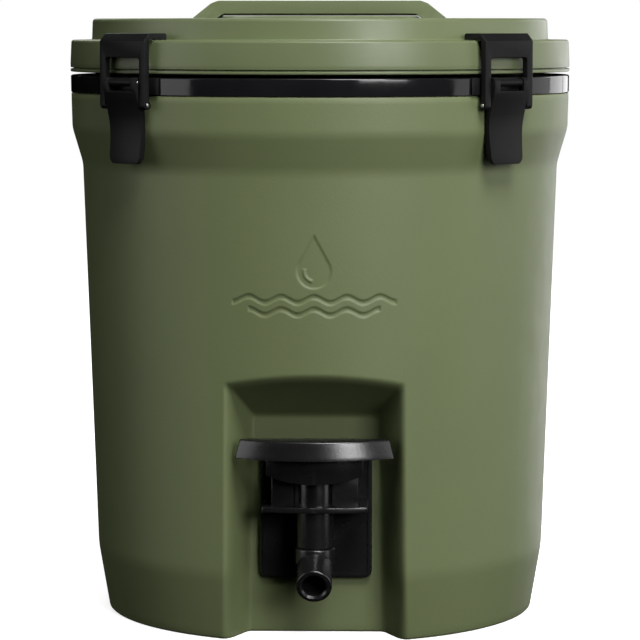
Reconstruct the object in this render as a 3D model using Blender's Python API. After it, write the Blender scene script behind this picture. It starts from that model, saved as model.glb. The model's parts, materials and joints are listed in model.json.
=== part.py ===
"""Insulated water jug of about 7.6 litres: a double-walled body with a tap in a front recess, and a
lid held by four over-centre latches.

The origin is the centre of the base, +Z is up, and the tap faces -Y. Heights are measured from the
ground, and radii from the jug's own axis.
"""

import math

import bmesh
import bpy
from mathutils import Matrix, Vector

MM = 0.001
GAP = 0.3 * MM
WELD = 1e-6
RING_STEPS = 48
SHARP_ANGLE = math.radians(35)

# Body: heights and outer radii of the shell, and the walls inside it
SHELL_WALL = 3.0 * MM
SHELL_OUTLINE = (
    (127.6 * MM, 0.0),
    (128.3 * MM, 1.0 * MM),
    (134.3 * MM, 36.5 * MM),
    (134.8 * MM, 43.0 * MM),
    (142.35 * MM, 264.0 * MM),
    (143.1 * MM, 270.0 * MM),
    (144.6 * MM, 276.0 * MM),
    (147.2 * MM, 285.0 * MM),
    (148.4 * MM, 291.0 * MM),
    (148.9 * MM, 299.0 * MM),
    (149.1 * MM, 310.8 * MM),
)
LINER_WALL = 2.5 * MM
LINER_FLOOR_Z = 42.0 * MM
LINER_FLOOR_RADIUS = 100.0 * MM
LINER_MOUTH_RADIUS = 104.0 * MM
LINER_CORNER = 8.0 * MM
NECK_RADIUS = 121.0 * MM

# Band round the top of the shell, which also carries the latches
BAND_LOW_Z = 311.1 * MM
BAND_TOP_Z = 321.2 * MM
BAND_RADIUS = 149.4 * MM
BAND_PLATE = 2.8 * MM

# Recess for the tap: a flat back wall, splayed sides and a sloping ceiling
RECESS_BACK_Y = -94.0 * MM
RECESS_FRONT_Y = -200.0 * MM
RECESS_CEILING_Z = 127.0 * MM
RECESS_CEILING_SLOPE = 0.584
RECESS_SECTIONS = (
    # height, half width of the back wall, splay of the side walls
    (-5.0 * MM, 39.6 * MM, 0.467),
    (40.0 * MM, 38.8 * MM, 0.361),
    (90.0 * MM, 37.9 * MM, 0.350),
)
RECESS_TOP_HALF_WIDTH = 37.3 * MM
RECESS_TOP_SPLAY = 0.334

# Flat stretch of the liner behind the recess
LINER_FLAT_Y = -86.5 * MM
LINER_FLAT_TOP_Z = 148.0 * MM

# Lid
LIP_LOW_Z = 323.2 * MM
LIP_TOP_Z = 324.9 * MM
LIP_RADIUS = 149.5 * MM
FLANGE_LOW_Z = 325.7 * MM
FLANGE_RADIUS = 149.55 * MM
LEDGE_Z = 342.0 * MM
DISC_RADIUS = 136.5 * MM
DISC_EDGE_Z = 354.3 * MM
DISC_TOP_Z = 354.6 * MM
CROWN_Z = 356.0 * MM
CROWN_RADIUS = 58.5 * MM
LID_WALL = 3.0 * MM
PLUG_RADIUS = 101.5 * MM
PLUG_LOW_Z = 288.0 * MM
PAN_WALL = 2.2 * MM
WELL_HALF_X = 54.0 * MM
WELL_HALF_Y = 50.0 * MM
WELL_DEPTH = 30.0 * MM
WELL_DRAFT = 6.0 * MM
WELL_CORNER = 8.0 * MM
LIFT_ORIGIN = (0.0, 0.0, LIP_LOW_Z)

# Carrying bar
BAR_TOP_Z = 365.2 * MM
BAR_UNDER_Z = 357.3 * MM
BAR_RIB_HALF_DEPTH = 9.0 * MM
BAR_HALF_DEPTH = 15.0 * MM
BAR_SCREW_X = 64.8 * MM
BAR_SCREW_Y = 8.0 * MM

# Latches: one frame each, turned about the jug's axis; A is the lever's pivot, B the hook's
LATCHES = {"front_left": -45.0, "front_right": 45.0, "rear_left": -135.0, "rear_right": 135.0}
PIVOT_R = 154.5 * MM
PIVOT_Z = 318.3 * MM
LINK_R = 152.4 * MM
LINK_Z = 305.6 * MM
PIN_RADIUS = 1.2 * MM
PIN_HOLE = 1.38 * MM
KNUCKLE_RADIUS = 2.2 * MM
KNUCKLE_HALF = 9.5 * MM
EAR_RADIUS = 2.9 * MM
EAR_INNER_HALF = 9.85 * MM
LEVER_HALF = 14.15 * MM
LEVER_TIP_HALF = 11.5 * MM
LEVER_PLATE = 1.6 * MM
LEVER_TOP_Z = 313.6 * MM
LEVER_TIP_Z = 272.2 * MM
HOOK_HALF = 19.6 * MM
HOOK_WINDOW_HALF = 14.85 * MM
HOOK_WINDOW_TOP_Z = 332.35 * MM
HOOK_TOP_Z = 346.0 * MM
HOOK_FRONT_R = 155.0 * MM
HOOK_BACK_R = 151.2 * MM
HOOK_REACH_R = 138.2 * MM
HOOK_BOSS = 2.6 * MM
PAD_HALF = 24.0 * MM
PAD_R = 150.8 * MM

# Tap: the barrel's axis is vertical, the shank's runs back through the wall
TAP_Y = -116.0 * MM
SHANK_Z = 69.0 * MM
SHANK_RADIUS = 8.4 * MM
SHANK_HOLE = 8.8 * MM
SHANK_END_Y = -72.0 * MM
WATERWAY_RADIUS = 5.0 * MM
NECK_HALF = 10.0 * MM
NUT_RADIUS = 15.0 * MM
NUT_HEIGHT = 7.0 * MM
WASHER_RADIUS = 14.5 * MM
WASHER_THICKNESS = 2.0 * MM
GASKET_RADIUS = 15.0 * MM
GASKET_THICKNESS = 1.6 * MM
PLATE_BACK_Y = RECESS_BACK_Y - GAP
PLATE_FRONT_Y = PLATE_BACK_Y - 4.0 * MM
PLATE_HALF = 32.3 * MM
PLATE_LOW_Z = 32.6 * MM
PLATE_TOP_Z = 112.0 * MM
PLATE_CORNER = 4.2 * MM
BARREL_RADIUS = 10.6 * MM
BARREL_LOW_Z = 53.8 * MM
SHELF_LOW_Z = 75.0 * MM
SHELF_TOP_Z = 78.2 * MM
SHELF_HALF = 30.2 * MM
SHELF_CORNER_Y = -125.5 * MM
SHELF_BOW = 4.0 * MM
HOUSING_HALF = 24.8 * MM
HOUSING_FRONT_Y = -122.0 * MM
HOUSING_TOP_Z = 96.8 * MM
BORE_RADIUS = 6.65 * MM
SEAT_LOW_Z = 61.5 * MM
SEAT_TOP_Z = 63.5 * MM
SEAT_HOLE = 4.2 * MM
CHAMBER_TOP_Z = 74.0 * MM
SPRING_SEAT_Z = 80.0 * MM
SPRING_POCKET = 7.2 * MM
SOCKET_RADIUS = 9.0 * MM
SOCKET_TOP_Z = 59.0 * MM

# Paddle
PADDLE_LOW_Z = 106.5 * MM
PADDLE_TOP_Z = 117.2 * MM
PADDLE_LOW_HALF = 45.4 * MM
PADDLE_TOP_HALF = 42.9 * MM
PADDLE_CORNER_Y = -128.0 * MM
PADDLE_BOW = 14.4 * MM
PADDLE_BACK_Y = -121.5 * MM
PADDLE_BACK_HALF = 36.5 * MM
DECK_LOW_Z = 105.4 * MM
DECK_TOP_Z = 107.4 * MM
SKIRT_HALF = 27.6 * MM
SKIRT_WALL = 2.2 * MM
SKIRT_BACK_Y = -104.5 * MM
SKIRT_CORNER_Y = -128.5 * MM
SKIRT_BOW = 7.0 * MM
SKIRT_SIDE_Z = 97.0 * MM
SKIRT_LOW_Z = 92.2 * MM
STEM_RADIUS = 2.4 * MM
STEM_HOLE = 2.7 * MM
STEM_TOP_Z = 111.0 * MM
SEAL_RADIUS = 6.2 * MM

# Return spring round the stem
SPRING_RADIUS = 5.0 * MM
SPRING_WIRE = 0.6 * MM
SPRING_TURNS = 6

# Outlet elbow
ELBOW_RADIUS = 11.4 * MM
ELBOW_TOP_Z = BARREL_LOW_Z - GAP
ELBOW_COLLAR_Z = 44.4 * MM
SPOUT_RADIUS = 10.1 * MM
SPOUT_Y = -142.0 * MM
SPOUT_Z = 35.3 * MM
SPOUT_TILT = math.radians(20)


def material(name, colour, roughness, metallic=0.0):
    """Principled material of one colour."""
    made = bpy.data.materials.new(name)
    made.use_nodes = True
    shader = made.node_tree.nodes["Principled BSDF"]
    shader.inputs["Base Color"].default_value = (*colour, 1.0)
    shader.inputs["Roughness"].default_value = roughness
    shader.inputs["Metallic"].default_value = metallic
    return made


# Shapes ---------------------------------------------------------------------------------------


def solid(bm):
    """Object that holds a closed bmesh with its faces turned outwards."""
    bmesh.ops.remove_doubles(bm, verts=bm.verts, dist=WELD)
    bmesh.ops.recalc_face_normals(bm, faces=bm.faces)
    mesh = bpy.data.meshes.new("shape")
    bm.to_mesh(mesh)
    bm.free()
    shape = bpy.data.objects.new("shape", mesh)
    bpy.context.scene.collection.objects.link(shape)
    return shape


def turned(outline, steps=RING_STEPS, centre=(0.0, 0.0)):
    """Solid turned about a vertical axis from (radius, height) points; an end off the axis is joined up."""
    bm = bmesh.new()
    points = [bm.verts.new((radius, 0.0, z)) for radius, z in outline]
    edges = [bm.edges.new(pair) for pair in zip(points, points[1:])]
    if outline[0][0] > 0.0 or outline[-1][0] > 0.0:
        edges.append(bm.edges.new((points[-1], points[0])))
    bmesh.ops.spin(
        bm,
        geom=points + edges,
        cent=(0.0, 0.0, 0.0),
        axis=(0.0, 0.0, 1.0),
        angle=2.0 * math.pi,
        steps=steps,
        use_merge=True,
    )
    bmesh.ops.translate(bm, verts=bm.verts, vec=(*centre, 0.0))
    return solid(bm)


def extruded(outline, axis, low, high):
    """Prism along an axis, from an outline in the other two axes in alphabetical order."""
    place = {
        "X": lambda a, b: (low, a, b),
        "Y": lambda a, b: (a, low, b),
        "Z": lambda a, b: (a, b, low),
    }[axis]
    bm = bmesh.new()
    face = bm.faces.new([bm.verts.new(place(a, b)) for a, b in outline])
    made = bmesh.ops.extrude_face_region(bm, geom=[face])["geom"]
    moved = [item for item in made if isinstance(item, bmesh.types.BMVert)]
    step = Vector([high - low if letter == axis else 0.0 for letter in "XYZ"])
    bmesh.ops.translate(bm, verts=moved, vec=step)
    return solid(bm)


def box(low, high):
    """Rectangular block between two corners."""
    return extruded(
        [(low[0], low[1]), (high[0], low[1]), (high[0], high[1]), (low[0], high[1])],
        "Z",
        low[2],
        high[2],
    )


def rod(start, end, radius, steps=24, end_radius=None):
    """Round bar between two points, tapered if its end has another radius."""
    start = Vector(start)
    along = Vector(end) - start
    bm = bmesh.new()
    bmesh.ops.create_cone(
        bm,
        cap_ends=True,
        segments=steps,
        radius1=radius,
        radius2=radius if end_radius is None else end_radius,
        depth=along.length,
    )
    turn = along.to_track_quat("Z", "Y").to_matrix().to_4x4()
    bmesh.ops.transform(bm, matrix=Matrix.Translation(start + along / 2) @ turn, verts=bm.verts)
    return solid(bm)


def ball(centre, radius, rows=12, steps=24):
    """Sphere."""
    bm = bmesh.new()
    bmesh.ops.create_uvsphere(bm, u_segments=steps, v_segments=rows, radius=radius)
    bmesh.ops.translate(bm, verts=bm.verts, vec=centre)
    return solid(bm)


def lofted(sections):
    """Solid through a stack of equal-length outlines, each side split on its shorter diagonal."""
    bm = bmesh.new()
    rings = [[bm.verts.new(point) for point in section] for section in sections]
    bm.faces.new(rings[0])
    bm.faces.new(rings[-1])
    for lower, upper in zip(rings, rings[1:]):
        for i in range(len(lower)):
            a, b = lower[i], lower[(i + 1) % len(lower)]
            c, d = upper[(i + 1) % len(lower)], upper[i]
            if (a.co - c.co).length <= (b.co - d.co).length:
                halves = ((a, b, c), (a, c, d))
            else:
                halves = ((a, b, d), (b, c, d))
            for corners in halves:
                bm.faces.new(corners)
    return solid(bm)


def arc(centre, radius, start, end, steps):
    """Points on a circle between two angles in degrees, both ends included."""
    angles = [math.radians(start + (end - start) * i / steps) for i in range(steps + 1)]
    return [(centre[0] + radius * math.cos(a), centre[1] + radius * math.sin(a)) for a in angles]


def bowed(half, y, bow, steps=12):
    """Arc from (half, y) to (-half, y) whose middle stands forward by bow."""
    radius = (half * half + bow * bow) / (2.0 * bow)
    reach = math.degrees(math.asin(half / radius))
    return arc((0.0, y - bow + radius), radius, -90.0 + reach, -90.0 - reach, steps)


def rounded(outline, radius, steps=3):
    """The outline with each corner replaced by an arc."""
    points = [Vector(point) for point in outline]
    result = []
    for i, corner in enumerate(points):
        before = (points[i - 1] - corner).normalized()
        after = (points[(i + 1) % len(points)] - corner).normalized()
        half = before.angle(after) / 2.0
        reach = radius / math.tan(half)
        centre = corner + (before + after).normalized() * radius / math.sin(half)
        first = corner + before * reach - centre
        last = corner + after * reach - centre
        sweep = first.angle_signed(last)
        turns = [Matrix.Rotation(-sweep * k / steps, 2) for k in range(steps + 1)]
        result += [tuple(centre + turn @ first) for turn in turns]
    return result


# Joining and cutting --------------------------------------------------------------------------


def combine(shape, tool, operation):
    """Applies a Boolean of one solid with another, and removes the other."""
    modifier = shape.modifiers.new("Boolean", "BOOLEAN")
    modifier.operation = operation
    modifier.object = tool
    bpy.context.view_layer.update()
    graph = bpy.context.evaluated_depsgraph_get()
    mesh = bpy.data.meshes.new_from_object(shape.evaluated_get(graph))
    shape.modifiers.clear()
    shape.data = mesh
    bpy.data.objects.remove(tool)
    return shape


def cut(shape, *tools):
    """Takes each tool's solid away from the shape."""
    for tool in tools:
        combine(shape, tool, "DIFFERENCE")
    return shape


def join(shape, *others):
    """Adds each of the other solids to the shape."""
    for other in others:
        combine(shape, other, "UNION")
    return shape


def common(shape, tool):
    """Keeps what the shape and the tool share."""
    return combine(shape, tool, "INTERSECT")


def empty(name, turn=0.0):
    """Empty on the jug's axis that a group hangs from, turned about Z in degrees."""
    frame = bpy.data.objects.new(name, None)
    bpy.context.scene.collection.objects.link(frame)
    frame.rotation_euler.z = math.radians(turn)
    return frame


def finish(shape, name, finish_material, origin=(0.0, 0.0, 0.0), parent=None):
    """Names a piece, puts its origin where given, and shades its round faces smooth."""
    shape.name = name
    shape.data.name = name
    shape.data.transform(Matrix.Translation(-Vector(origin)))
    shape.location = origin
    shape.parent = parent
    shape.data.materials.clear()
    shape.data.materials.append(finish_material)
    shape.data.shade_smooth()
    shape.data.set_sharp_from_angle(angle=SHARP_ANGLE)
    return shape


# Body -----------------------------------------------------------------------------------------


def inset(outline, depth):
    """The turned outline moved towards the axis, its foot raised by the same depth."""
    moved = [(radius - depth, max(z, depth)) for radius, z in outline]
    return [moved[0]] + moved[2:]


def recess(offset):
    """Block that fills the tap recess, grown on all sides by offset."""
    back_y = RECESS_BACK_Y + offset
    rise = offset * math.hypot(1.0, RECESS_CEILING_SLOPE)

    def ceiling(y):
        return RECESS_CEILING_Z + RECESS_CEILING_SLOPE * (RECESS_BACK_Y - y) + rise

    def section(half, splay, back_z, front_z):
        back_half = half - splay * offset + offset * math.hypot(1.0, splay)
        front_half = back_half + splay * (back_y - RECESS_FRONT_Y)
        return [
            (-back_half, back_y, back_z),
            (back_half, back_y, back_z),
            (front_half, RECESS_FRONT_Y, front_z),
            (-front_half, RECESS_FRONT_Y, front_z),
        ]

    sections = [section(half, splay, z, z) for z, half, splay in RECESS_SECTIONS]
    top = section(RECESS_TOP_HALF_WIDTH, RECESS_TOP_SPLAY, ceiling(back_y), ceiling(RECESS_FRONT_Y))
    return lofted(sections + [top])


def shank_hole(radius):
    """Rod along the shank's axis, through every wall that the shank passes."""
    return rod((0.0, RECESS_BACK_Y - 20 * MM, SHANK_Z), (0.0, -60 * MM, SHANK_Z), radius)


def shell_core(depth, top_z):
    """What lies inside the shell at a depth from its outer face, up to top_z."""
    outline = inset(SHELL_OUTLINE, depth)
    outline[-1] = (outline[-1][0], top_z)
    core = turned([(0.0, depth)] + outline + [(0.0, top_z)])
    return cut(core, recess(depth))


def outer_shell(finish_material):
    """Moulded outer wall and base, open at the top."""
    top_z = SHELL_OUTLINE[-1][1]
    shell = turned([(0.0, 0.0), *SHELL_OUTLINE, (0.0, top_z)])
    cut(shell, recess(0.0), shell_core(SHELL_WALL, top_z + 5 * MM), shank_hole(SHANK_HOLE))
    finish(shell, "outer_shell", finish_material)


def liner_flat(offset):
    """Block in front of the liner's flat stretch, moved inwards by offset."""
    y = LINER_FLAT_Y + offset
    z = LINER_FLAT_TOP_Z + offset * (math.sqrt(2.0) - 1.0)
    reach = 60.0 * MM
    outline = [(y, 0.0), (y, z), (y - reach, z + reach), (y - reach, 0.0)]
    return extruded(outline, "X", -150 * MM, 150 * MM)


def liner_core(grow, top_z):
    """The liner's water space, grown on all sides."""
    low_z = LINER_FLOOR_Z - grow
    foot = LINER_FLOOR_RADIUS + grow
    corner = LINER_CORNER + grow
    bend = arc((foot - corner, low_z + corner), corner, -90.0, 0.0, 4)
    core = turned([(0.0, low_z), *bend, (LINER_MOUTH_RADIUS + grow, top_z), (0.0, top_z)])
    return cut(core, liner_flat(LINER_WALL - grow))


def inner_liner(finish_material):
    """Water vessel with a flange that rests inside the rim band."""
    flange = turned(
        [
            (LINER_MOUTH_RADIUS + 1 * MM, BAND_TOP_Z - BAND_PLATE),
            (NECK_RADIUS, BAND_TOP_Z - BAND_PLATE),
            (NECK_RADIUS, BAND_TOP_Z),
            (LINER_MOUTH_RADIUS + 1 * MM, BAND_TOP_Z),
        ]
    )
    liner = join(liner_core(LINER_WALL, BAND_TOP_Z), flange)
    cut(liner, liner_core(0.0, BAND_TOP_Z + 5 * MM), shank_hole(SHANK_HOLE))
    finish(liner, "inner_liner", finish_material)


def foam_insulation(finish_material):
    """Foam that fills the space between the shell and the liner."""
    top_z = BAND_TOP_Z - BAND_PLATE - GAP
    foam = shell_core(SHELL_WALL + GAP, top_z)
    cut(foam, liner_core(LINER_WALL + GAP, top_z + 5 * MM), shank_hole(SHANK_HOLE + GAP))
    finish(foam, "foam_insulation", finish_material)


def rim_band(finish_material):
    """Ring of angle section that caps the shell and reaches in to the liner."""
    inner = SHELL_OUTLINE[-1][0] - SHELL_WALL + GAP / 2
    under_z = BAND_TOP_Z - BAND_PLATE
    band = turned(
        [
            (inner, BAND_LOW_Z),
            (BAND_RADIUS - 0.15 * MM, BAND_LOW_Z),
            (BAND_RADIUS, BAND_TOP_Z - 0.6 * MM),
            (BAND_RADIUS - 0.6 * MM, BAND_TOP_Z),
            (NECK_RADIUS + GAP, BAND_TOP_Z),
            (NECK_RADIUS + GAP, under_z),
            (inner, under_z),
        ]
    )
    finish(band, "rim_band", finish_material)


# Lid ------------------------------------------------------------------------------------------


def well(grow):
    """Finger well in the lid top, an oval bowl, grown on all sides."""
    low_z = CROWN_Z - WELL_DEPTH
    rows = [
        (CROWN_Z + 10 * MM, 0.0),
        (low_z + WELL_CORNER, WELL_DRAFT),
        (low_z + 0.35 * WELL_CORNER, WELL_DRAFT + 0.2 * WELL_CORNER),
        (low_z, WELL_DRAFT + WELL_CORNER),
    ]
    steps = 28

    def ring(z, draft):
        half_x = WELL_HALF_X + grow - draft
        half_y = WELL_HALF_Y + grow - draft
        turns = [2.0 * math.pi * i / steps for i in range(steps)]
        return [(half_x * math.cos(turn), half_y * math.sin(turn), z) for turn in turns]

    return lofted([ring(z - grow, draft) for z, draft in reversed(rows)])


def lid_core(depth, foot):
    """What lies inside the lid top at a depth from its outer face, down to the foot's points."""
    side = FLANGE_RADIUS - depth
    disc = DISC_RADIUS - depth
    core = turned(
        [
            *foot,
            (side, foot[-1][1]),
            (side - 0.4 * MM, LEDGE_Z - depth - 1.5 * MM),
            (side - 1.9 * MM, LEDGE_Z - depth),
            (disc, LEDGE_Z - depth),
            (disc - 0.4 * MM, DISC_EDGE_Z - depth - 1.8 * MM),
            (disc - 2.2 * MM, DISC_EDGE_Z - depth),
            (CROWN_RADIUS + 1.5 * MM, DISC_TOP_Z - depth),
            (CROWN_RADIUS, CROWN_Z - depth),
            (0.0, CROWN_Z - depth),
        ]
    )
    return cut(core, well(depth))


def bar_screw_places():
    """The four screws' places in plan."""
    return [(x, y) for x in (-BAR_SCREW_X, BAR_SCREW_X) for y in (-BAR_SCREW_Y, BAR_SCREW_Y)]


def lid_top(finish_material, parent):
    """Upper half of the lid, with the ledge for the hooks and the finger well."""
    top = lid_core(0.0, [(0.0, FLANGE_LOW_Z)])
    cut(top, lid_core(LID_WALL, [(0.0, FLANGE_LOW_Z - 5 * MM)]))
    for x, y in bar_screw_places():
        cut(top, rod((x, y, DISC_TOP_Z - 5 * MM), (x, y, DISC_TOP_Z + 5 * MM), 2.2 * MM, 12))
    finish(top, "lid_top", finish_material, LIFT_ORIGIN, parent)


def lid_base(finish_material, parent):
    """Lower half of the lid: the lip and the plug that enters the liner."""
    inner = PLUG_RADIUS - PAN_WALL
    step_z = LIP_LOW_Z + PAN_WALL
    plug_foot = arc((PLUG_RADIUS - 4.5 * MM, PLUG_LOW_Z + 4 * MM), 4 * MM, 0.0, -90.0, 3)
    base = turned(
        [
            (LIP_RADIUS, LIP_LOW_Z),
            (LIP_RADIUS, LIP_TOP_Z),
            (FLANGE_RADIUS - 1.8 * MM, LIP_TOP_Z),
            (FLANGE_RADIUS - 1.8 * MM, step_z),
            (inner, step_z),
            (inner - 0.5 * MM, PLUG_LOW_Z + PAN_WALL),
            (0.0, PLUG_LOW_Z + PAN_WALL),
            (0.0, PLUG_LOW_Z),
            *reversed(plug_foot),
            (PLUG_RADIUS, LIP_LOW_Z),
        ]
    )
    finish(base, "lid_base", finish_material, LIFT_ORIGIN, parent)


def lid_foam(finish_material, parent):
    """Foam inside the lid, cleared for the screw heads."""
    inner = PLUG_RADIUS - PAN_WALL - GAP
    floor_z = PLUG_LOW_Z + PAN_WALL + GAP
    foot = [(0.0, floor_z), (inner - 0.5 * MM, floor_z), (inner, FLANGE_LOW_Z)]
    foam = lid_core(LID_WALL + GAP, foot)
    for x, y in bar_screw_places():
        cut(foam, rod((x, y, DISC_TOP_Z - 7.5 * MM), (x, y, DISC_TOP_Z + 5 * MM), 4.4 * MM, 12))
    finish(foam, "lid_foam", finish_material, LIFT_ORIGIN, parent)


def lid_gasket(finish_material, parent):
    """Flat ring between the lid and the liner's flange."""
    low_z = BAND_TOP_Z + GAP
    high_z = LIP_LOW_Z - GAP
    outer = NECK_RADIUS - 0.2 * MM
    inner = outer - 9 * MM
    gasket = turned([(inner, low_z), (outer, low_z), (outer, high_z), (inner, high_z)])
    finish(gasket, "lid_gasket", finish_material, LIFT_ORIGIN, parent)


def lid_handle(finish_material, parent):
    """Carrying bar across the finger well, stiffened by a rib along its underside."""
    foot_z = DISC_TOP_Z + GAP
    right = [
        (61.2 * MM, foot_z),
        (75.6 * MM, foot_z),
        (65.0 * MM, 363.2 * MM),
        (62.6 * MM, 364.7 * MM),
        (59.5 * MM, BAR_TOP_Z),
    ]
    left = [(-x, z) for x, z in reversed(right)]
    under = [(-58.5 * MM, BAR_UNDER_Z), (58.5 * MM, BAR_UNDER_Z)]
    bar = extruded(right + left + under, "Y", -BAR_HALF_DEPTH, BAR_HALF_DEPTH)
    across = extruded(
        rounded(
            [
                (-BAR_HALF_DEPTH, BAR_TOP_Z),
                (-BAR_HALF_DEPTH, CROWN_Z - 8 * MM),
                (BAR_HALF_DEPTH, CROWN_Z - 8 * MM),
                (BAR_HALF_DEPTH, BAR_TOP_Z),
            ],
            3.5 * MM,
        ),
        "X",
        -80 * MM,
        80 * MM,
    )
    common(bar, across)
    rib = box(
        (-CROWN_RADIUS, -BAR_RIB_HALF_DEPTH, CROWN_Z + GAP),
        (CROWN_RADIUS, BAR_RIB_HALF_DEPTH, BAR_UNDER_Z + 1 * MM),
    )
    join(bar, rib)
    for x, y in bar_screw_places():
        cut(bar, rod((x, y, DISC_TOP_Z - 5 * MM), (x, y, 360.0 * MM), 2.1 * MM, 12))
    finish(bar, "lid_handle", finish_material, LIFT_ORIGIN, parent)


def handle_screws(finish_material, parent):
    """Four screws up through the lid top into the bar."""
    under_z = DISC_TOP_Z - LID_WALL - GAP
    outline = [
        (0.0, under_z - 3 * MM),
        (3.6 * MM, under_z - 3 * MM),
        (3.6 * MM, under_z),
        (1.9 * MM, under_z),
        (1.9 * MM, 359.6 * MM),
        (0.0, 359.6 * MM),
    ]
    for number, place in enumerate(bar_screw_places(), 1):
        screw = turned(outline, 12, place)
        finish(screw, f"handle_screw_{number}", finish_material, LIFT_ORIGIN, parent)


# Latches, drawn for one that faces -Y: radii from the jug's axis are -Y --------------------------


def side_outline(points):
    """(radius, height) points as (y, z)."""
    return [(-radius, z) for radius, z in points]


def latch_pin_hole(radius, z):
    """Rod that drills a pin's hole across the latch."""
    return rod((-30 * MM, -radius, z), (30 * MM, -radius, z), PIN_HOLE, 12)


def latch_bracket():
    """Curved pad on the band with the knuckle that the lever turns on."""
    reach = math.degrees(math.asin(PAD_HALF / PAD_R))
    outer = arc((0.0, 0.0), PAD_R, -90.0 - reach, -90.0 + reach, 8)
    inner = arc((0.0, 0.0), BAND_RADIUS + GAP, -90.0 + reach, -90.0 - reach, 8)
    pad = extruded(outer + inner, "Z", BAND_LOW_Z + GAP, BAND_TOP_Z - 0.2 * MM)
    arm = box(
        (-KNUCKLE_HALF, -PIVOT_R, PIVOT_Z - KNUCKLE_RADIUS),
        (KNUCKLE_HALF, -PAD_R + 0.4 * MM, PIVOT_Z + KNUCKLE_RADIUS),
    )
    knuckle = rod(
        (-KNUCKLE_HALF, -PIVOT_R, PIVOT_Z), (KNUCKLE_HALF, -PIVOT_R, PIVOT_Z), KNUCKLE_RADIUS, 16
    )
    return cut(join(pad, arm, knuckle), latch_pin_hole(PIVOT_R, PIVOT_Z))


def lever_front(shift=0.0):
    """Front face of the lever from its shoulder down to its tip, moved inwards by shift."""
    return [
        (157.3 * MM - shift, 315.0 * MM),
        (154.6 * MM - shift, 303.4 * MM),
        (153.4 * MM - shift, 297.5 * MM),
        (152.4 * MM - shift, 291.5 * MM),
        (152.5 * MM - shift, 287.0 * MM),
        (153.5 * MM - shift, 277.0 * MM),
        (153.7 * MM - shift, LEVER_TIP_Z),
    ]


def latch_lever():
    """Pressed channel with two ears round the knuckle, waisted below and turned out at its tip."""
    ear = [(-y, z) for y, z in arc((-PIVOT_R, PIVOT_Z), EAR_RADIUS, 180.0, 0.0, 6)]
    back = [
        (149.9 * MM, LEVER_TIP_Z),
        (149.0 * MM, 282.0 * MM),
        (149.3 * MM, 292.0 * MM),
        (150.3 * MM, 303.0 * MM),
        (151.2 * MM, 312.0 * MM),
    ]
    outline = side_outline(ear + list(reversed(back)) + list(reversed(lever_front())))
    lever = extruded(outline, "X", -LEVER_HALF, LEVER_HALF)
    floor_z = LEVER_TIP_Z + LEVER_PLATE
    tip_r = lever_front(LEVER_PLATE)[-1][0]
    inside = [
        (140 * MM, 330 * MM),
        *lever_front(LEVER_PLATE)[:-1],
        (tip_r, floor_z),
        (140 * MM, floor_z),
    ]
    flange = 2.0 * MM
    channel = extruded(side_outline(inside), "X", -LEVER_HALF + flange, LEVER_HALF - flange)
    slot = box((-EAR_INNER_HALF, -165 * MM, LEVER_TOP_Z), (EAR_INNER_HALF, -140 * MM, 330 * MM))
    face = [
        (LEVER_HALF, 325 * MM),
        (LEVER_HALF, 285 * MM),
        (LEVER_TIP_HALF + 0.8 * MM, 276 * MM),
        (LEVER_TIP_HALF - 2.2 * MM, LEVER_TIP_Z),
    ]
    face += [(-x, z) for x, z in reversed(face)]
    cut(lever, channel, slot)
    common(lever, extruded(face, "Y", -170 * MM, -140 * MM))
    return cut(lever, latch_pin_hole(PIVOT_R, PIVOT_Z), latch_pin_hole(LINK_R, LINK_Z))


def latch_hook():
    """Frame with two legs that hang on the link pin and a plate that reaches over the lid's ledge."""
    under_z = LEDGE_Z + GAP
    boss = [(-y, z) for y, z in arc((-LINK_R, LINK_Z), HOOK_BOSS, 0.0, -180.0, 6)]
    outline = [
        *boss,
        (HOOK_FRONT_R, HOOK_TOP_Z - 4.3 * MM),
        (HOOK_FRONT_R - 4.0 * MM, HOOK_TOP_Z),
        (HOOK_REACH_R + 1.0 * MM, HOOK_TOP_Z),
        (HOOK_REACH_R, HOOK_TOP_Z - 1.0 * MM),
        (HOOK_REACH_R, under_z),
        (HOOK_BACK_R, under_z),
        (HOOK_BACK_R, LINK_Z + 2.5 * MM),
    ]
    hook = extruded(side_outline(outline), "X", -HOOK_HALF, HOOK_HALF)
    half = HOOK_WINDOW_HALF
    corner = 2.0 * MM
    top_z = HOOK_WINDOW_TOP_Z
    window = [
        (-half, 295 * MM),
        (half, 295 * MM),
        *arc((half - corner, top_z - corner), corner, 0.0, 90.0, 3),
        *arc((corner - half, top_z - corner), corner, 90.0, 180.0, 3),
    ]
    cut(hook, extruded(window, "Y", -170 * MM, -145 * MM))
    return cut(hook, latch_pin_hole(LINK_R, LINK_Z))


def latch_pin(radius, z, half):
    """Plain steel pin across the latch."""
    return rod((-half, -radius, z), (half, -radius, z), PIN_RADIUS, 12)


def latches(plastic, steel):
    """One latch drawn facing -Y, then set at each place with meshes shared."""
    pivot = (0.0, -PIVOT_R, PIVOT_Z)
    link = (0.0, -LINK_R, LINK_Z)
    pieces = (
        ("latch_bracket", latch_bracket(), plastic, pivot),
        ("latch_pivot_pin", latch_pin(PIVOT_R, PIVOT_Z, LEVER_HALF - 0.2 * MM), steel, pivot),
        ("latch_lever", latch_lever(), plastic, pivot),
        ("latch_link_pin", latch_pin(LINK_R, LINK_Z, HOOK_HALF + 0.2 * MM), steel, link),
        ("latch_hook", latch_hook(), plastic, link),
    )
    for title, pattern, finish_material, origin in pieces:
        finish(pattern, title, finish_material, origin)
    for place, turn in LATCHES.items():
        frame = empty(f"latch_frame_{place}", turn=turn)
        for title, pattern, _, origin in pieces:
            piece = bpy.data.objects.new(f"{title}_{place}", pattern.data)
            bpy.context.scene.collection.objects.link(piece)
            piece.location = origin
            piece.parent = frame
    for _, pattern, _, _ in pieces:
        bpy.data.objects.remove(pattern)


# Tap ------------------------------------------------------------------------------------------


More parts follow.
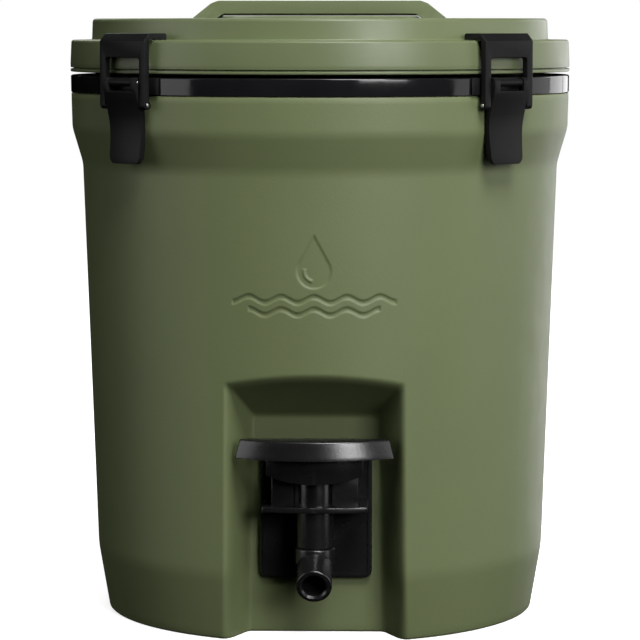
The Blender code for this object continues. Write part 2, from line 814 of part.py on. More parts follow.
def tap_back_plate(finish_material):
    """Plate that spreads the tap's load over the recess wall."""
    outline = rounded(
        [
            (-PLATE_HALF, PLATE_LOW_Z),
            (PLATE_HALF, PLATE_LOW_Z),
            (PLATE_HALF, PLATE_TOP_Z),
            (-PLATE_HALF, PLATE_TOP_Z),
        ],
        PLATE_CORNER,
    )
    plate = extruded(outline, "Y", PLATE_FRONT_Y, PLATE_BACK_Y)
    seat_y = PLATE_BACK_Y - GASKET_THICKNESS - GAP
    gasket_seat = rod((0.0, seat_y, SHANK_Z), (0.0, -80 * MM, SHANK_Z), GASKET_RADIUS + GAP)
    cut(plate, shank_hole(SHANK_HOLE), gasket_seat)
    finish(plate, "tap_back_plate", finish_material)


def shank_ring(front_y, back_y, radius):
    """Ring round the tap's shank."""
    ring = rod((0.0, front_y, SHANK_Z), (0.0, back_y, SHANK_Z), radius)
    return cut(ring, shank_hole(SHANK_HOLE))


def tap_body(finish_material):
    """Upright barrel with its housing and shelf, and the shank that passes through the wall."""
    front_y = PLATE_FRONT_Y - GAP
    shelf_front = bowed(SHELF_HALF, SHELF_CORNER_Y, SHELF_BOW)
    shelf = [(SHELF_HALF, front_y), *shelf_front, (-SHELF_HALF, front_y)]
    body = extruded(shelf, "Z", SHELF_LOW_Z, SHELF_TOP_Z)
    axis_low = (0.0, TAP_Y, BARREL_LOW_Z)
    axis_high = (0.0, TAP_Y, HOUSING_TOP_Z)
    housing = box(
        (-HOUSING_HALF, HOUSING_FRONT_Y, SHELF_TOP_Z - 1 * MM),
        (HOUSING_HALF, front_y, HOUSING_TOP_Z),
    )
    join(
        body,
        housing,
        rod(axis_low, axis_high, BARREL_RADIUS, 32),
        rod((0.0, TAP_Y, SHANK_Z), (0.0, front_y, SHANK_Z), NECK_HALF),
        rod((0.0, TAP_Y, SHANK_Z), (0.0, SHANK_END_Y, SHANK_Z), SHANK_RADIUS),
    )

    def bore(low_z, high_z, radius, steps=24):
        return rod((0.0, TAP_Y, low_z), (0.0, TAP_Y, high_z), radius, steps)

    cut(
        body,
        bore(BARREL_LOW_Z - 1 * MM, SOCKET_TOP_Z, SOCKET_RADIUS),
        bore(SOCKET_TOP_Z - 1 * MM, SEAT_LOW_Z, BORE_RADIUS),
        bore(SEAT_LOW_Z - 1 * MM, SEAT_TOP_Z + 1 * MM, SEAT_HOLE),
        bore(SEAT_TOP_Z, CHAMBER_TOP_Z, BORE_RADIUS),
        bore(CHAMBER_TOP_Z - 1 * MM, SPRING_SEAT_Z + 1 * MM, STEM_HOLE, 16),
        bore(SPRING_SEAT_Z, HOUSING_TOP_Z + 1 * MM, SPRING_POCKET),
        rod((0.0, TAP_Y, SHANK_Z), (0.0, SHANK_END_Y + 2 * MM, SHANK_Z), WATERWAY_RADIUS),
    )
    finish(body, "tap_body", finish_material)


def tap_nut(finish_material):
    """Hexagonal nut on the shank, inside the liner."""
    front_y = LINER_FLAT_Y + LINER_WALL + 2 * GAP + WASHER_THICKNESS
    nut = rod((0.0, front_y, SHANK_Z), (0.0, front_y + NUT_HEIGHT, SHANK_Z), NUT_RADIUS, 6)
    cut(nut, shank_hole(SHANK_HOLE))
    finish(nut, "tap_nut", finish_material)


def paddle_plan(half, corner_y, z):
    """Plan of the paddle's cap: a bowed front, splayed sides and a straight back."""
    front = [(x, y, z) for x, y in bowed(half, corner_y, PADDLE_BOW, 16)]
    return front + [(-PADDLE_BACK_HALF, PADDLE_BACK_Y, z), (PADDLE_BACK_HALF, PADDLE_BACK_Y, z)]


def tap_paddle(finish_material, parent):
    """Wide cap that a hand presses, with a skirt over the housing and a boss for the stem."""
    cap = lofted(
        [
            paddle_plan(PADDLE_LOW_HALF, PADDLE_CORNER_Y, PADDLE_LOW_Z),
            paddle_plan(PADDLE_TOP_HALF, PADDLE_CORNER_Y + 1.8 * MM, PADDLE_TOP_Z),
        ]
    )
    outer = bowed(SKIRT_HALF, SKIRT_CORNER_Y, SKIRT_BOW)
    inner = bowed(SKIRT_HALF - SKIRT_WALL, SKIRT_CORNER_Y + SKIRT_WALL, SKIRT_BOW)
    sides = [(-SKIRT_HALF, SKIRT_BACK_Y), (SKIRT_WALL - SKIRT_HALF, SKIRT_BACK_Y)]
    other = [(SKIRT_HALF - SKIRT_WALL, SKIRT_BACK_Y), (SKIRT_HALF, SKIRT_BACK_Y)]
    skirt = extruded(
        [*outer, *sides, *reversed(inner), *other], "Z", SKIRT_LOW_Z - 2 * MM, DECK_TOP_Z - 0.5 * MM
    )
    deck_outline = [*outer, (-SKIRT_HALF, SKIRT_BACK_Y), (SKIRT_HALF, SKIRT_BACK_Y)]
    deck = extruded(deck_outline, "Z", DECK_LOW_Z, DECK_TOP_Z)
    hem = [(x, z) for x, z in bowed(SKIRT_HALF + 1 * MM, SKIRT_SIDE_Z, SKIRT_SIDE_Z - SKIRT_LOW_Z)]
    hem += [(-SKIRT_HALF - 1 * MM, 130 * MM), (SKIRT_HALF + 1 * MM, 130 * MM)]
    common(skirt, extruded(hem, "Y", -140 * MM, -100 * MM))
    boss = rod((0.0, TAP_Y, DECK_LOW_Z), (0.0, TAP_Y, STEM_TOP_Z + 1.4 * MM), 5.0 * MM)
    join(cap, deck, skirt, boss)
    stem_hole = rod((0.0, TAP_Y, DECK_LOW_Z - 5 * MM), (0.0, TAP_Y, STEM_TOP_Z + GAP), STEM_HOLE, 16)
    cut(cap, stem_hole)
    finish(cap, "tap_paddle", finish_material, (0.0, TAP_Y, DECK_LOW_Z), parent)


def valve_stem(finish_material, parent):
    """Rod from the paddle down through the valve seat, headed below the seal."""
    head_z = SEAT_LOW_Z - 4.9 * MM
    outline = [
        (0.0, head_z),
        (3.7 * MM, head_z),
        (3.7 * MM, head_z + 1.3 * MM),
        (STEM_RADIUS, head_z + 1.3 * MM),
        (STEM_RADIUS, STEM_TOP_Z),
        (0.0, STEM_TOP_Z),
    ]
    stem = turned(outline, 16, (0.0, TAP_Y))
    finish(stem, "valve_stem", finish_material, (0.0, TAP_Y, DECK_LOW_Z), parent)


def valve_seal(finish_material, parent):
    """Washer that closes the seat from below."""
    low_z = SEAT_LOW_Z - 3.3 * MM
    high_z = SEAT_LOW_Z - GAP
    outline = [(STEM_HOLE, low_z), (SEAL_RADIUS, low_z), (SEAL_RADIUS, high_z), (STEM_HOLE, high_z)]
    seal = turned(outline, 16, (0.0, TAP_Y))
    finish(seal, "valve_seal", finish_material, (0.0, TAP_Y, DECK_LOW_Z), parent)


def tap_return_spring(finish_material):
    """Helix of round wire between the housing and the underside of the paddle."""
    low_z = SPRING_SEAT_Z + GAP + SPRING_WIRE
    high_z = DECK_LOW_Z - GAP - SPRING_WIRE
    per_turn = 12
    sides = 6
    count = SPRING_TURNS * per_turn
    pitch = (high_z - low_z) / SPRING_TURNS
    slope = math.atan2(pitch, 2.0 * math.pi * SPRING_RADIUS)
    sections = []
    for i in range(count + 1):
        turn = 2.0 * math.pi * i / per_turn
        outward = Vector((math.cos(turn), math.sin(turn), 0.0))
        across = Vector((-math.sin(turn), math.cos(turn), 0.0)) * -math.sin(slope)
        across.z = math.cos(slope)
        centre = outward * SPRING_RADIUS + Vector((0.0, TAP_Y, low_z + pitch * i / per_turn))
        around = [2.0 * math.pi * k / sides for k in range(sides)]
        spokes = [outward * math.cos(angle) + across * math.sin(angle) for angle in around]
        sections.append([centre + SPRING_WIRE * spoke for spoke in spokes])
    finish(lofted(sections), "tap_return_spring", finish_material)


def spout_direction():
    """Way the water leaves, forwards and down."""
    return Vector((0.0, -math.cos(SPOUT_TILT), -math.sin(SPOUT_TILT)))


def nozzle_elbow(finish_material, parent):
    """Elbow that turns the water forwards, with a spigot up into the barrel."""
    mouth = Vector((0.0, SPOUT_Y, SPOUT_Z))
    run = (TAP_Y - SPOUT_Y) / math.cos(SPOUT_TILT)
    bend = mouth - spout_direction() * run
    spigot_top = SOCKET_TOP_Z - GAP
    elbow = rod((0.0, TAP_Y, ELBOW_TOP_Z), (0.0, TAP_Y, ELBOW_COLLAR_Z), ELBOW_RADIUS, 32)
    spigot = turned(
        [
            (0.0, ELBOW_TOP_Z - 2 * MM),
            (SOCKET_RADIUS - GAP, ELBOW_TOP_Z - 2 * MM),
            (SOCKET_RADIUS - GAP, ELBOW_TOP_Z + 1.2 * MM),
            (SOCKET_RADIUS - 1.4 * MM, ELBOW_TOP_Z + 1.2 * MM),
            (SOCKET_RADIUS - 1.4 * MM, ELBOW_TOP_Z + 2.9 * MM),
            (SOCKET_RADIUS - GAP, ELBOW_TOP_Z + 2.9 * MM),
            (SOCKET_RADIUS - GAP, spigot_top),
            (0.0, spigot_top),
        ],
        24,
        (0.0, TAP_Y),
    )
    join(elbow, ball(bend, SPOUT_RADIUS + 0.6 * MM), rod(bend, mouth, SPOUT_RADIUS, 32), spigot)
    cut(
        elbow,
        rod((0.0, TAP_Y, spigot_top + 1 * MM), bend, BORE_RADIUS),
        ball(bend, BORE_RADIUS * 1.01, 10, 20),
        rod(bend, mouth + spout_direction() * 2 * MM, BORE_RADIUS),
    )
    finish(elbow, "nozzle_elbow", finish_material, (0.0, TAP_Y, ELBOW_TOP_Z), parent)


def nozzle_o_ring(finish_material, parent):
    """Seal in the spigot's groove, square in section."""
    low_z = ELBOW_TOP_Z + 1.5 * MM
    high_z = ELBOW_TOP_Z + 2.6 * MM
    inner = SOCKET_RADIUS - 1.1 * MM
    outer = SOCKET_RADIUS - 0.15 * MM
    outline = [(inner, low_z), (outer, low_z), (outer, high_z), (inner, high_z)]
    ring = turned(outline, 24, (0.0, TAP_Y))
    finish(ring, "nozzle_o_ring", finish_material, (0.0, TAP_Y, ELBOW_TOP_Z), parent)


def tap_seals(finish_material):
    """Flat rings on the shank, outside and inside the wall."""
    gasket = shank_ring(PLATE_BACK_Y - GASKET_THICKNESS, PLATE_BACK_Y, GASKET_RADIUS)
    finish(gasket, "tap_gasket", finish_material)
    front_y = LINER_FLAT_Y + LINER_WALL + GAP
    washer = shank_ring(front_y, front_y + WASHER_THICKNESS, WASHER_RADIUS)
    finish(washer, "tap_nut_washer", finish_material)


def main():
    for leftover in list(bpy.data.objects):
        bpy.data.objects.remove(leftover)
    green = material("moulded_green", (0.155, 0.185, 0.095), 0.45)
    black = material("satin_black", (0.012, 0.012, 0.013), 0.4)
    steel = material("steel", (0.62, 0.62, 0.63), 0.3, 1.0)
    rubber = material("black_rubber", (0.02, 0.02, 0.02), 0.8)
    white = material("white_liner", (0.75, 0.75, 0.73), 0.4)
    foam = material("foam", (0.72, 0.62, 0.38), 0.9)

    outer_shell(green)
    foam_insulation(foam)
    inner_liner(white)
    rim_band(black)
    lid = empty("lid_frame")
    lid_top(green, lid)
    lid_base(green, lid)
    lid_foam(foam, lid)
    lid_gasket(rubber, lid)
    lid_handle(green, lid)
    handle_screws(steel, lid)
    latches(black, steel)
    tap_back_plate(black)
    tap_body(black)
    tap_seals(rubber)
    tap_nut(black)
    paddle = empty("paddle_frame")
    tap_paddle(black, paddle)
    valve_stem(steel, paddle)
    valve_seal(rubber, paddle)
    tap_return_spring(steel)
    nozzle = empty("nozzle_frame")
    nozzle_elbow(black, nozzle)
    nozzle_o_ring(rubber, nozzle)


main()
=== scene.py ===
"""Looks for the insulated water jug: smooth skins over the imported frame, with moulded-plastic finishes.

Sizes are in metres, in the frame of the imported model: the base stands on z = 0, the tap faces -Y.
"""

import json
from math import asin, atan2, cos, degrees, hypot, pi, radians, sin, sqrt, tan

import bmesh
import bpy
import numpy as np
from mathutils import Matrix, Vector


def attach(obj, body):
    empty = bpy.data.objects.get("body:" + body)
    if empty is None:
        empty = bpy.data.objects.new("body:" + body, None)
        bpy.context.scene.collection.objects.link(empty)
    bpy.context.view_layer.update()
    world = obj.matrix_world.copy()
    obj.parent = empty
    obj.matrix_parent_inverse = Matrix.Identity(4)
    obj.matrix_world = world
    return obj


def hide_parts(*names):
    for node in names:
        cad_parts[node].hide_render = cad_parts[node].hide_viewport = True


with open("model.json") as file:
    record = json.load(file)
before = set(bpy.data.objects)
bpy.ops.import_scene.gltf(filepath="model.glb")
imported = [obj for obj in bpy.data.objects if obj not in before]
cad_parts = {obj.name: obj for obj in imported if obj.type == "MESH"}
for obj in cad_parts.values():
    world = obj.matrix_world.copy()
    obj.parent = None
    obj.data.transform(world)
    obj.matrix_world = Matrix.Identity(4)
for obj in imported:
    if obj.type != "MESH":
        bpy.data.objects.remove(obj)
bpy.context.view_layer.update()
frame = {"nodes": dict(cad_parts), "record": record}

MM = 0.001
GAP = 0.3 * MM  # clearance between CAD parts that meet
QUARTER = [radians(15.0 * k) for k in range(7)]  # the steps of a rounded rim
LATCHES = {"front_left": -45.0, "front_right": 45.0, "rear_left": -135.0, "rear_right": 135.0}

# Shell: three straight stretches of the outline, as radius at z = 0 and slope, joined by soft bends
FOOT_LINE = (128.15 * MM, 0.169)
SIDE_LINE = (133.33 * MM, 0.03416)
FLARE_LINE = (64.03 * MM, 0.292)
COLLAR_LINE = (141.95 * MM, 0.0232)
FOOT_BEND = 0.6 * MM
FLARE_BEND = 0.9 * MM
COLLAR_BEND = 0.8 * MM
SHELL_TOP_Z = 310.8 * MM
SHELL_WALL = 3.0 * MM
FOOT_HOLLOW = 2.2 * MM  # how far the underside stands off the floor inside its rim
SHELL_FLOOR_Z = 4.0 * MM
SHELL_LIP = 0.9 * MM
SHRINK_Y = 25.0 * MM  # the point that the shell's rings are drawn in towards, clear of the recess

# Recess for the tap
RECESS_BACK_Y = -94.0 * MM
RECESS_HALF = (39.5 * MM, -0.0175)  # half width of the back wall at z = 0, and its change with height
MOUTH_HALF = (50.3 * MM, -0.0085)  # the same where the side walls meet the outer surface
RECESS_CEILING_Z = 127.0 * MM
RECESS_SLOPE = 0.584
WALL_TO_CEILING = 7.0 * MM  # widths over which the recess's surfaces blend
INNER_CORNER = (3.5 * MM, 1.5 * MM)  # at the ceiling, and what the sides add
MOUTH_EDGE = (5.0 * MM, 4.5 * MM)  # the same, where the recess opens
CORNER_FADE = 6.0 * MM
PANEL_HALF = 66.0 * MM
WALL_MARGIN = (6.0 * MM, 7.0 * MM)  # close-packed points reach this far past the side walls
PANEL_COUNTS = (50, 46, 6)
BACK_COUNT = 124
SHANK_HOLE = 8.8 * MM

# Moulded sign
DROP_Z = 213.6 * MM
DROP_RADIUS = 9.6 * MM
DROP_TIP_Z = 233.8 * MM
GLEAM_RADIUS = 5.6 * MM
GLEAM_HALF = 0.7 * MM
GLEAM_END = 1.2 * MM
RIPPLES = ((197.6 * MM, 46.0 * MM), (190.6 * MM, 37.0 * MM))  # height and reach of each
RIPPLE_RISE = 1.7 * MM
RIPPLE_PITCH = 2.93 * MM  # length of one radian of the wave
RIPPLE_HALF = 1.25 * MM
SIGN_DEPTH = 0.65 * MM
SIGN_EDGE = 0.8 * MM

# Lid
LIP_LOW_Z = 323.2 * MM
LIP_TOP_Z = 324.9 * MM
LIP_RADIUS = 149.5 * MM
FLANGE_LOW_Z = 325.7 * MM
FLANGE_RADIUS = 149.55 * MM
LEDGE_Z = 342.0 * MM
DISC_RADIUS = 136.5 * MM
DISC_EDGE_Z = 354.3 * MM
DISC_TOP_Z = 354.6 * MM
CROWN_Z = 356.0 * MM
LID_WALL = 3.0 * MM
PLUG_RADIUS = 101.5 * MM
PLUG_LOW_Z = 288.0 * MM
WELL_HALF_X = 54.0 * MM
WELL_HALF_Y = 50.0 * MM
WELL_DEPTH = 30.0 * MM
WELL_ROLL = 2.5 * MM
WELL_COVE = 9.0 * MM
WELL_DRAFT = 5.0 * MM
HANDLE_HALF_Y = 15.0 * MM
HANDLE_EDGE = 3.2 * MM
HANDLE_RIB_HALF_Y = 9.0 * MM

# Rim band and liner
BAND_LOW_Z = 311.1 * MM
BAND_TOP_Z = 321.2 * MM
BAND_RADIUS = 149.4 * MM
BAND_PLATE = 2.8 * MM
BAND_SEAM = radians(74.0)
NECK_RADIUS = 121.0 * MM
LINER_FOOT = 100.0 * MM
LINER_MOUTH = 104.0 * MM
LINER_FLOOR_Z = 42.0 * MM
LINER_WALL = 2.5 * MM
LINER_FLAT_Y = -86.5 * MM
LINER_COVE = 12.0 * MM
LINER_ROLL = 2.4 * MM
SHOULDER_Z = 148.0 * MM  # the liner's flat front slopes outwards above this

# Latches, drawn facing -Y
PIVOT = (154.5 * MM, 318.3 * MM)
LINK = (152.4 * MM, 305.6 * MM)
PIN_RADIUS = 1.2 * MM
PIN_HOLE = 1.35 * MM
BRACKET_HALF = 24.0 * MM
KNUCKLE_HALF = 9.5 * MM
KNUCKLE_RADIUS = 2.2 * MM
LEVER_HALF = 14.15 * MM
LEVER_FLANGE = 1.9 * MM
HOOK_HALF = 19.6 * MM
HOOK_REACH = 138.2 * MM

# Tap
TAP_Y = -116.0 * MM
SHANK_Z = 69.0 * MM
SPOUT_TILT = radians(20.0)
PLATE_THICK = 4.0 * MM
STEM_HOLE = 2.7 * MM
VALVE_BORE = 6.65 * MM

# Colours, linear
GREEN = (0.152, 0.185, 0.083)
LID_GREEN = (0.146, 0.177, 0.085)
GREEN_WORN = (0.2, 0.235, 0.135)
BLACK = (0.0095, 0.0095, 0.0102)
TAP_BLACK = (0.0085, 0.0085, 0.0092)
BLACK_WORN = (0.03, 0.03, 0.032)
GLOSS_BLACK = ((0.008, 0.008, 0.009), (0.012, 0.012, 0.013))
LINER_WHITE = (0.74, 0.74, 0.71)
LINER_WORN = (0.8, 0.8, 0.78)
# foam colour, then a darker tone that is painted shade in the foam's cell hollows
FOAM_AND_PORE_SHADE_TONES = ((0.6, 0.5, 0.28), (0.76, 0.66, 0.42))
RUBBER_TONES = ((0.016, 0.016, 0.017), (0.03, 0.03, 0.031))
STEEL_TONES = ((0.5, 0.5, 0.51), (0.68, 0.68, 0.69))
FLOOR_TONES = ((0.93, 0.93, 0.925), (0.95, 0.95, 0.945))
WHITE = (1.0, 1.0, 1.0, 1.0)

# Lamps: name, azimuth and elevation in degrees, distance, width, height, power
LAMPS = (
    ("left_wall", -75.0, 12.0, 2.2, 1.4, 1.6, 9.2),
    ("front_soft", 29.0, 15.0, 2.2, 0.8, 0.75, 19.5),
    ("front_key", 22.0, 50.0, 2.2, 0.8, 0.8, 34.0),
    ("overhead", 20.0, 75.0, 2.6, 1.4, 1.4, 19.0),
    ("right_wall", 80.0, 8.0, 2.2, 1.4, 1.6, 8.3),
    ("right_edge", 110.0, 6.0, 2.2, 1.4, 1.6, 5.6),
    ("right_back", 145.0, 4.0, 2.4, 1.4, 1.8, 17.0),
    ("back_fill", 190.0, 30.0, 2.4, 1.4, 1.0, 9.0),
)
LAMP_TARGET = (0.0, 0.0, 0.2)
FLOOR_RADIUS = 6.0

# Camera
CAMERA_AZIMUTH = radians(1.38)
CAMERA_DISTANCE = 1.8
EYE_Z = 350.4 * MM
CAMERA_PITCH = radians(90.0 - 5.64)
SENSOR_WIDTH = 36.0
LENS = 167.74


# Shapes ------------


def in_mm(*points):
    """Points given in millimetres, in metres."""
    return [tuple(value * MM for value in point) for point in points]


def new_object(name, mesh):
    """Object in the scene that holds the mesh."""
    made = bpy.data.objects.new(name, mesh)
    bpy.context.scene.collection.objects.link(made)
    return made


def from_bmesh(name, bm):
    """Object from a bmesh, with faces turned outwards."""
    bmesh.ops.remove_doubles(bm, verts=bm.verts, dist=1e-7)
    bmesh.ops.recalc_face_normals(bm, faces=bm.faces)
    mesh = bpy.data.meshes.new(name)
    bm.to_mesh(mesh)
    bm.free()
    return new_object(name, mesh)


def skin(name, rings, closed=False):
    """Closed surface through a stack of rings, an array of (ring, point, xyz).

    A closed stack joins its last ring to its first; an open one is capped at both ends.
    """
    rings = np.asarray(rings, float)
    count, around = rings.shape[:2]
    index = np.arange(count * around).reshape(count, around)
    low = index if closed else index[:-1]
    high = np.roll(index, -1, axis=0) if closed else index[1:]
    quads = np.stack([low, np.roll(low, -1, 1), np.roll(high, -1, 1), high], axis=-1)
    faces = quads.reshape(-1, 4).tolist()
    if not closed:
        faces += [index[0][::-1].tolist(), index[-1].tolist()]
    mesh = bpy.data.meshes.new(name)
    mesh.from_pydata(rings.reshape(-1, 3).tolist(), [], faces)
    bm = bmesh.new()
    bm.from_mesh(mesh)
    bpy.data.meshes.remove(mesh)
    return from_bmesh(name, bm)


def softened(corners, steps=5):
    """Outline with each (x, y, radius) corner turned into an arc; a radius of 0 stays a point."""
    result = []
    for i, (x, y, radius) in enumerate(corners):
        corner = Vector((x, y))
        before = Vector(corners[i - 1][:2]) - corner
        after = Vector(corners[(i + 1) % len(corners)][:2]) - corner
        if radius <= 0.0:
            result.append((x, y))
            continue
        half = before.angle(after) / 2.0
        reach = min(radius / tan(half), 0.49 * before.length, 0.49 * after.length)
        middle = (before.normalized() + after.normalized()).normalized()
        centre = corner + middle * reach / cos(half)
        first = corner + before.normalized() * reach - centre
        last = corner + after.normalized() * reach - centre
        sweep = atan2(first.cross(last), first.dot(last))
        for k in range(steps + 1):
            turn = sweep * k / steps
            cosine, sine = cos(turn), sin(turn)
            spoke = (first.x * cosine - first.y * sine, first.x * sine + first.y * cosine)
            result.append((centre.x + spoke[0], centre.y + spoke[1]))
    return result


def revolved(name, outline, steps, dent=None):
    """Closed (radius, height) outline turned about the jug's axis; dent(angle) moves points in."""
    turns = 2.0 * np.pi * np.arange(steps) / steps
    if dent is not None:
        turns = np.sort(np.concatenate([turns, dent.angles]))
    depth = dent(turns) if dent is not None else np.zeros_like(turns)
    rings = []
    for radius, z in outline:
        reach = np.maximum(radius - depth, 0.0)
        ring = (reach * np.sin(turns), -reach * np.cos(turns), z + 0 * turns)
        rings.append(np.stack(ring, axis=-1))
    solid = outline[0][0] == 0.0 and outline[-1][0] == 0.0
    return skin(name, rings, closed=not solid)


def prism(name, outline, axis, low, high):
    """Prism along an axis, from an outline in the other two axes in alphabetical order."""
    place = {
        "X": lambda a, b, c: (c, a, b),
        "Y": lambda a, b, c: (a, c, b),
        "Z": lambda a, b, c: (a, b, c),
    }[axis]
    return skin(name, [[place(a, b, c) for a, b in outline] for c in (low, high)])


def block(name, low, high):
    """Rectangular block between two corners."""
    outline = [(low[0], low[1]), (high[0], low[1]), (high[0], high[1]), (low[0], high[1])]
    return prism(name, outline, "Z", low[2], high[2])


def plain_rod(name, start, end, radius, edge=0.0, steps=48):
    """Round bar along a line, with its rims rounded off by edge."""
    start, along = Vector(start), Vector(end) - Vector(start)
    side = along.orthogonal().normalized()
    other = along.normalized().cross(side)
    turns = [2.0 * pi * k / steps for k in range(steps)]
    spokes = [side * cos(turn) + other * sin(turn) for turn in turns]
    profile = [(0.0, radius), (1.0, radius)]
    if edge > 0.0:
        rim = [(edge * (1.0 - sin(t)), radius - edge * (1.0 - cos(t))) for t in QUARTER]
        profile = [(depth / along.length, reach) for depth, reach in reversed(rim)]
        profile += [(1.0 - depth / along.length, reach) for depth, reach in rim]
    return skin(name, [[start + along * t + spoke * r for spoke in spokes] for t, r in profile])


def arc(centre, radius, start, end, steps):
    """Points on a circle between two angles in degrees, both ends included."""
    angles = [radians(start + (end - start) * i / steps) for i in range(steps + 1)]
    return [(centre[0] + radius * cos(a), centre[1] + radius * sin(a)) for a in angles]


def bowed(half, y, bow, steps=32):
    """Arc from (half, y) to (-half, y) whose middle stands forward by bow."""
    radius = (half * half + bow * bow) / (2.0 * bow)
    reach = degrees(asin(half / radius))
    return arc((0.0, y - bow + radius), radius, -90.0 + reach, -90.0 - reach, steps)


def applied(shape):
    """The shape with its modifiers turned into mesh."""
    bpy.context.view_layer.update()
    graph = bpy.context.evaluated_depsgraph_get()
    mesh = bpy.data.meshes.new_from_object(shape.evaluated_get(graph))
    shape.modifiers.clear()
    shape.data = mesh
    return shape


def bevelled(shape, width, segments=3, angle=35.0):
    """Rounds every edge sharper than angle."""
    modifier = shape.modifiers.new("Bevel", "BEVEL")
    modifier.width = width
    modifier.segments = segments
    modifier.limit_method = "ANGLE"
    modifier.angle_limit = radians(angle)
    modifier.miter_outer = "MITER_ARC"
    return applied(shape)


def combined(shape, operation, *tools):
    """Boolean of the shape with each tool in turn, which removes the tools."""
    for tool in tools:
        modifier = shape.modifiers.new("Boolean", "BOOLEAN")
        modifier.operation = operation
        modifier.object = tool
        applied(shape)
        bpy.data.objects.remove(tool)
    return shape


def shaded(shape, angle=30.0):
    """Smooth shading that breaks at edges sharper than angle."""
    shape.data.shade_smooth()
    shape.data.set_sharp_from_angle(angle=radians(angle))


def piece(shape, body, finish, node, angle=30.0):
    """Gives the shape its finish, and lets it stand for the CAD node and ride on its body."""
    shaded(shape, angle)
    shape.data.materials.clear()
    shape.data.materials.append(finish)
    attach(shape, body)
    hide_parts(node)


def smooth_max(a, b, width):
    """The larger of two fields, blended where they differ by less than width."""
    share = np.clip(0.5 + 0.5 * (a - b) / width, 0.0, 1.0)
    return b + (a - b) * share + width * share * (1.0 - share)


def smooth_min(a, b, width):
    """The smaller of two fields, blended where they differ by less than width."""
    return -smooth_max(-a, -b, width)


# Materials ------------


class Nodes:
    """Small helper that adds and links the nodes of one material."""

    def __init__(self, name):
        self.material = bpy.data.materials.new(name)
        self.material.use_nodes = True
        self.tree = self.material.node_tree
        self.shader = self.tree.nodes["Principled BSDF"]
        place = self.tree.nodes.new("ShaderNodeTexCoord")
        self.place = place.outputs["Object"]

    def link(self, output, socket):
        """Joins an output to an input socket."""
        self.tree.links.new(output, socket)

    def noise(self, scale, detail=2.0, roughness=0.5):
        """Noise at a scale in features per metre."""
        node = self.tree.nodes.new("ShaderNodeTexNoise")
        node.inputs["Scale"].default_value = scale
        node.inputs["Detail"].default_value = detail
        node.inputs["Roughness"].default_value = roughness
        self.link(self.place, node.inputs["Vector"])
        return node.outputs["Fac"]

    def cells(self, scale):
        """Distance field of small cells, for a bead-blasted mould surface."""
        node = self.tree.nodes.new("ShaderNodeTexVoronoi")
        node.feature = "SMOOTH_F1"
        node.inputs["Scale"].default_value = scale
        self.link(self.place, node.inputs["Vector"])
        return node.outputs["Distance"]

    def spread(self, value, low, high, low_to=0.0, high_to=1.0):
        """Maps a range of values onto another."""
        node = self.tree.nodes.new("ShaderNodeMapRange")
        for socket, number in zip(node.inputs[1:5], (low, high, low_to, high_to)):
            socket.default_value = number
        self.link(value, node.inputs[0])
        return node.outputs[0]

    def math(self, operation, a, b):
        """One arithmetic step on two outputs, or an output and a number."""
        node = self.tree.nodes.new("ShaderNodeMath")
        node.operation = operation
        for socket, value in zip(node.inputs, (a, b)):
            if isinstance(value, (int, float)):
                socket.default_value = value
            else:
                self.link(value, socket)
        return node.outputs[0]

    def mix(self, share, a, b):
        """Colour between a and b, each a colour or an output."""
        node = self.tree.nodes.new("ShaderNodeMix")
        node.data_type = "RGBA"
        self.link(share, node.inputs["Factor"])
        for socket, value in zip((node.inputs[6], node.inputs[7]), (a, b)):
            if isinstance(value, tuple):
                socket.default_value = (*value, 1.0)
            else:
                self.link(value, socket)
        return node.outputs[2]

    def edges(self):
        """1 on convex edges and 0 elsewhere, softly broken up."""
        node = self.tree.nodes.new("ShaderNodeNewGeometry")
        sharp = self.spread(node.outputs["Pointiness"], 0.53, 0.62)
        return self.math("MULTIPLY", sharp, self.spread(self.noise(220.0), 0.35, 0.65, 0.2, 1.0))

    def bump(self, height, distance):
        """Fine relief from a height."""
        node = self.tree.nodes.new("ShaderNodeBump")
        node.inputs["Distance"].default_value = distance
        node.inputs["Strength"].default_value = 1.0
        self.link(height, node.inputs["Height"])
        self.link(node.outputs["Normal"], self.shader.inputs["Normal"])

    def roughness(self, value, low, high, low_to, high_to):
        """Roughness between two values, from a pattern."""
        self.link(self.spread(value, low, high, low_to, high_to), self.shader.inputs["Roughness"])

    def colour(self, share, tones):
        """Base colour between two tones, from a pattern."""
        self.link(self.mix(share, *tones), self.shader.inputs["Base Color"])

    def specular(self, level):
        """Strength of the gloss, the same all over."""
        self.shader.inputs["Specular IOR Level"].default_value = level


def moulded_plastic(name, colour, worn, roughness, grain, relief, wave=0.03):
    """Plastic from a textured mould: fine grain, faint flow marks and paler rubbed edges."""
    n = Nodes(name)
    flow = n.spread(n.noise(14.0, 3.0), 0.3, 0.7)
    darker = tuple(channel * (1.0 - wave) for channel in colour)
    lighter = tuple(min(channel * (1.0 + wave), 1.0) for channel in colour)
    base = n.mix(flow, darker, lighter)
    base = n.mix(n.math("MULTIPLY", n.edges(), 0.6), base, worn)
    n.link(base, n.shader.inputs["Base Color"])
    n.roughness(n.noise(60.0, 4.0), 0.3, 0.7, roughness - 0.03, roughness + 0.03)
    fine = n.math("ADD", n.math("MULTIPLY", n.noise(grain, 2.0), 0.6), n.cells(grain * 0.55))
    n.bump(fine, relief)
    return n


def green_plastic():
    """Satin olive-green shell plastic with a soft-touch grain."""
    n = moulded_plastic("olive_moulding", GREEN, GREEN_WORN, 0.5, 1500.0, 0.035 * MM)
    n.specular(0.5)
    return n.material


def lid_green():
    """The same olive plastic on the lid, from a more polished mould."""
    n = moulded_plastic("olive_lid_moulding", LID_GREEN, GREEN_WORN, 0.38, 1500.0, 0.02 * MM)
    n.specular(0.5)
    return n.material


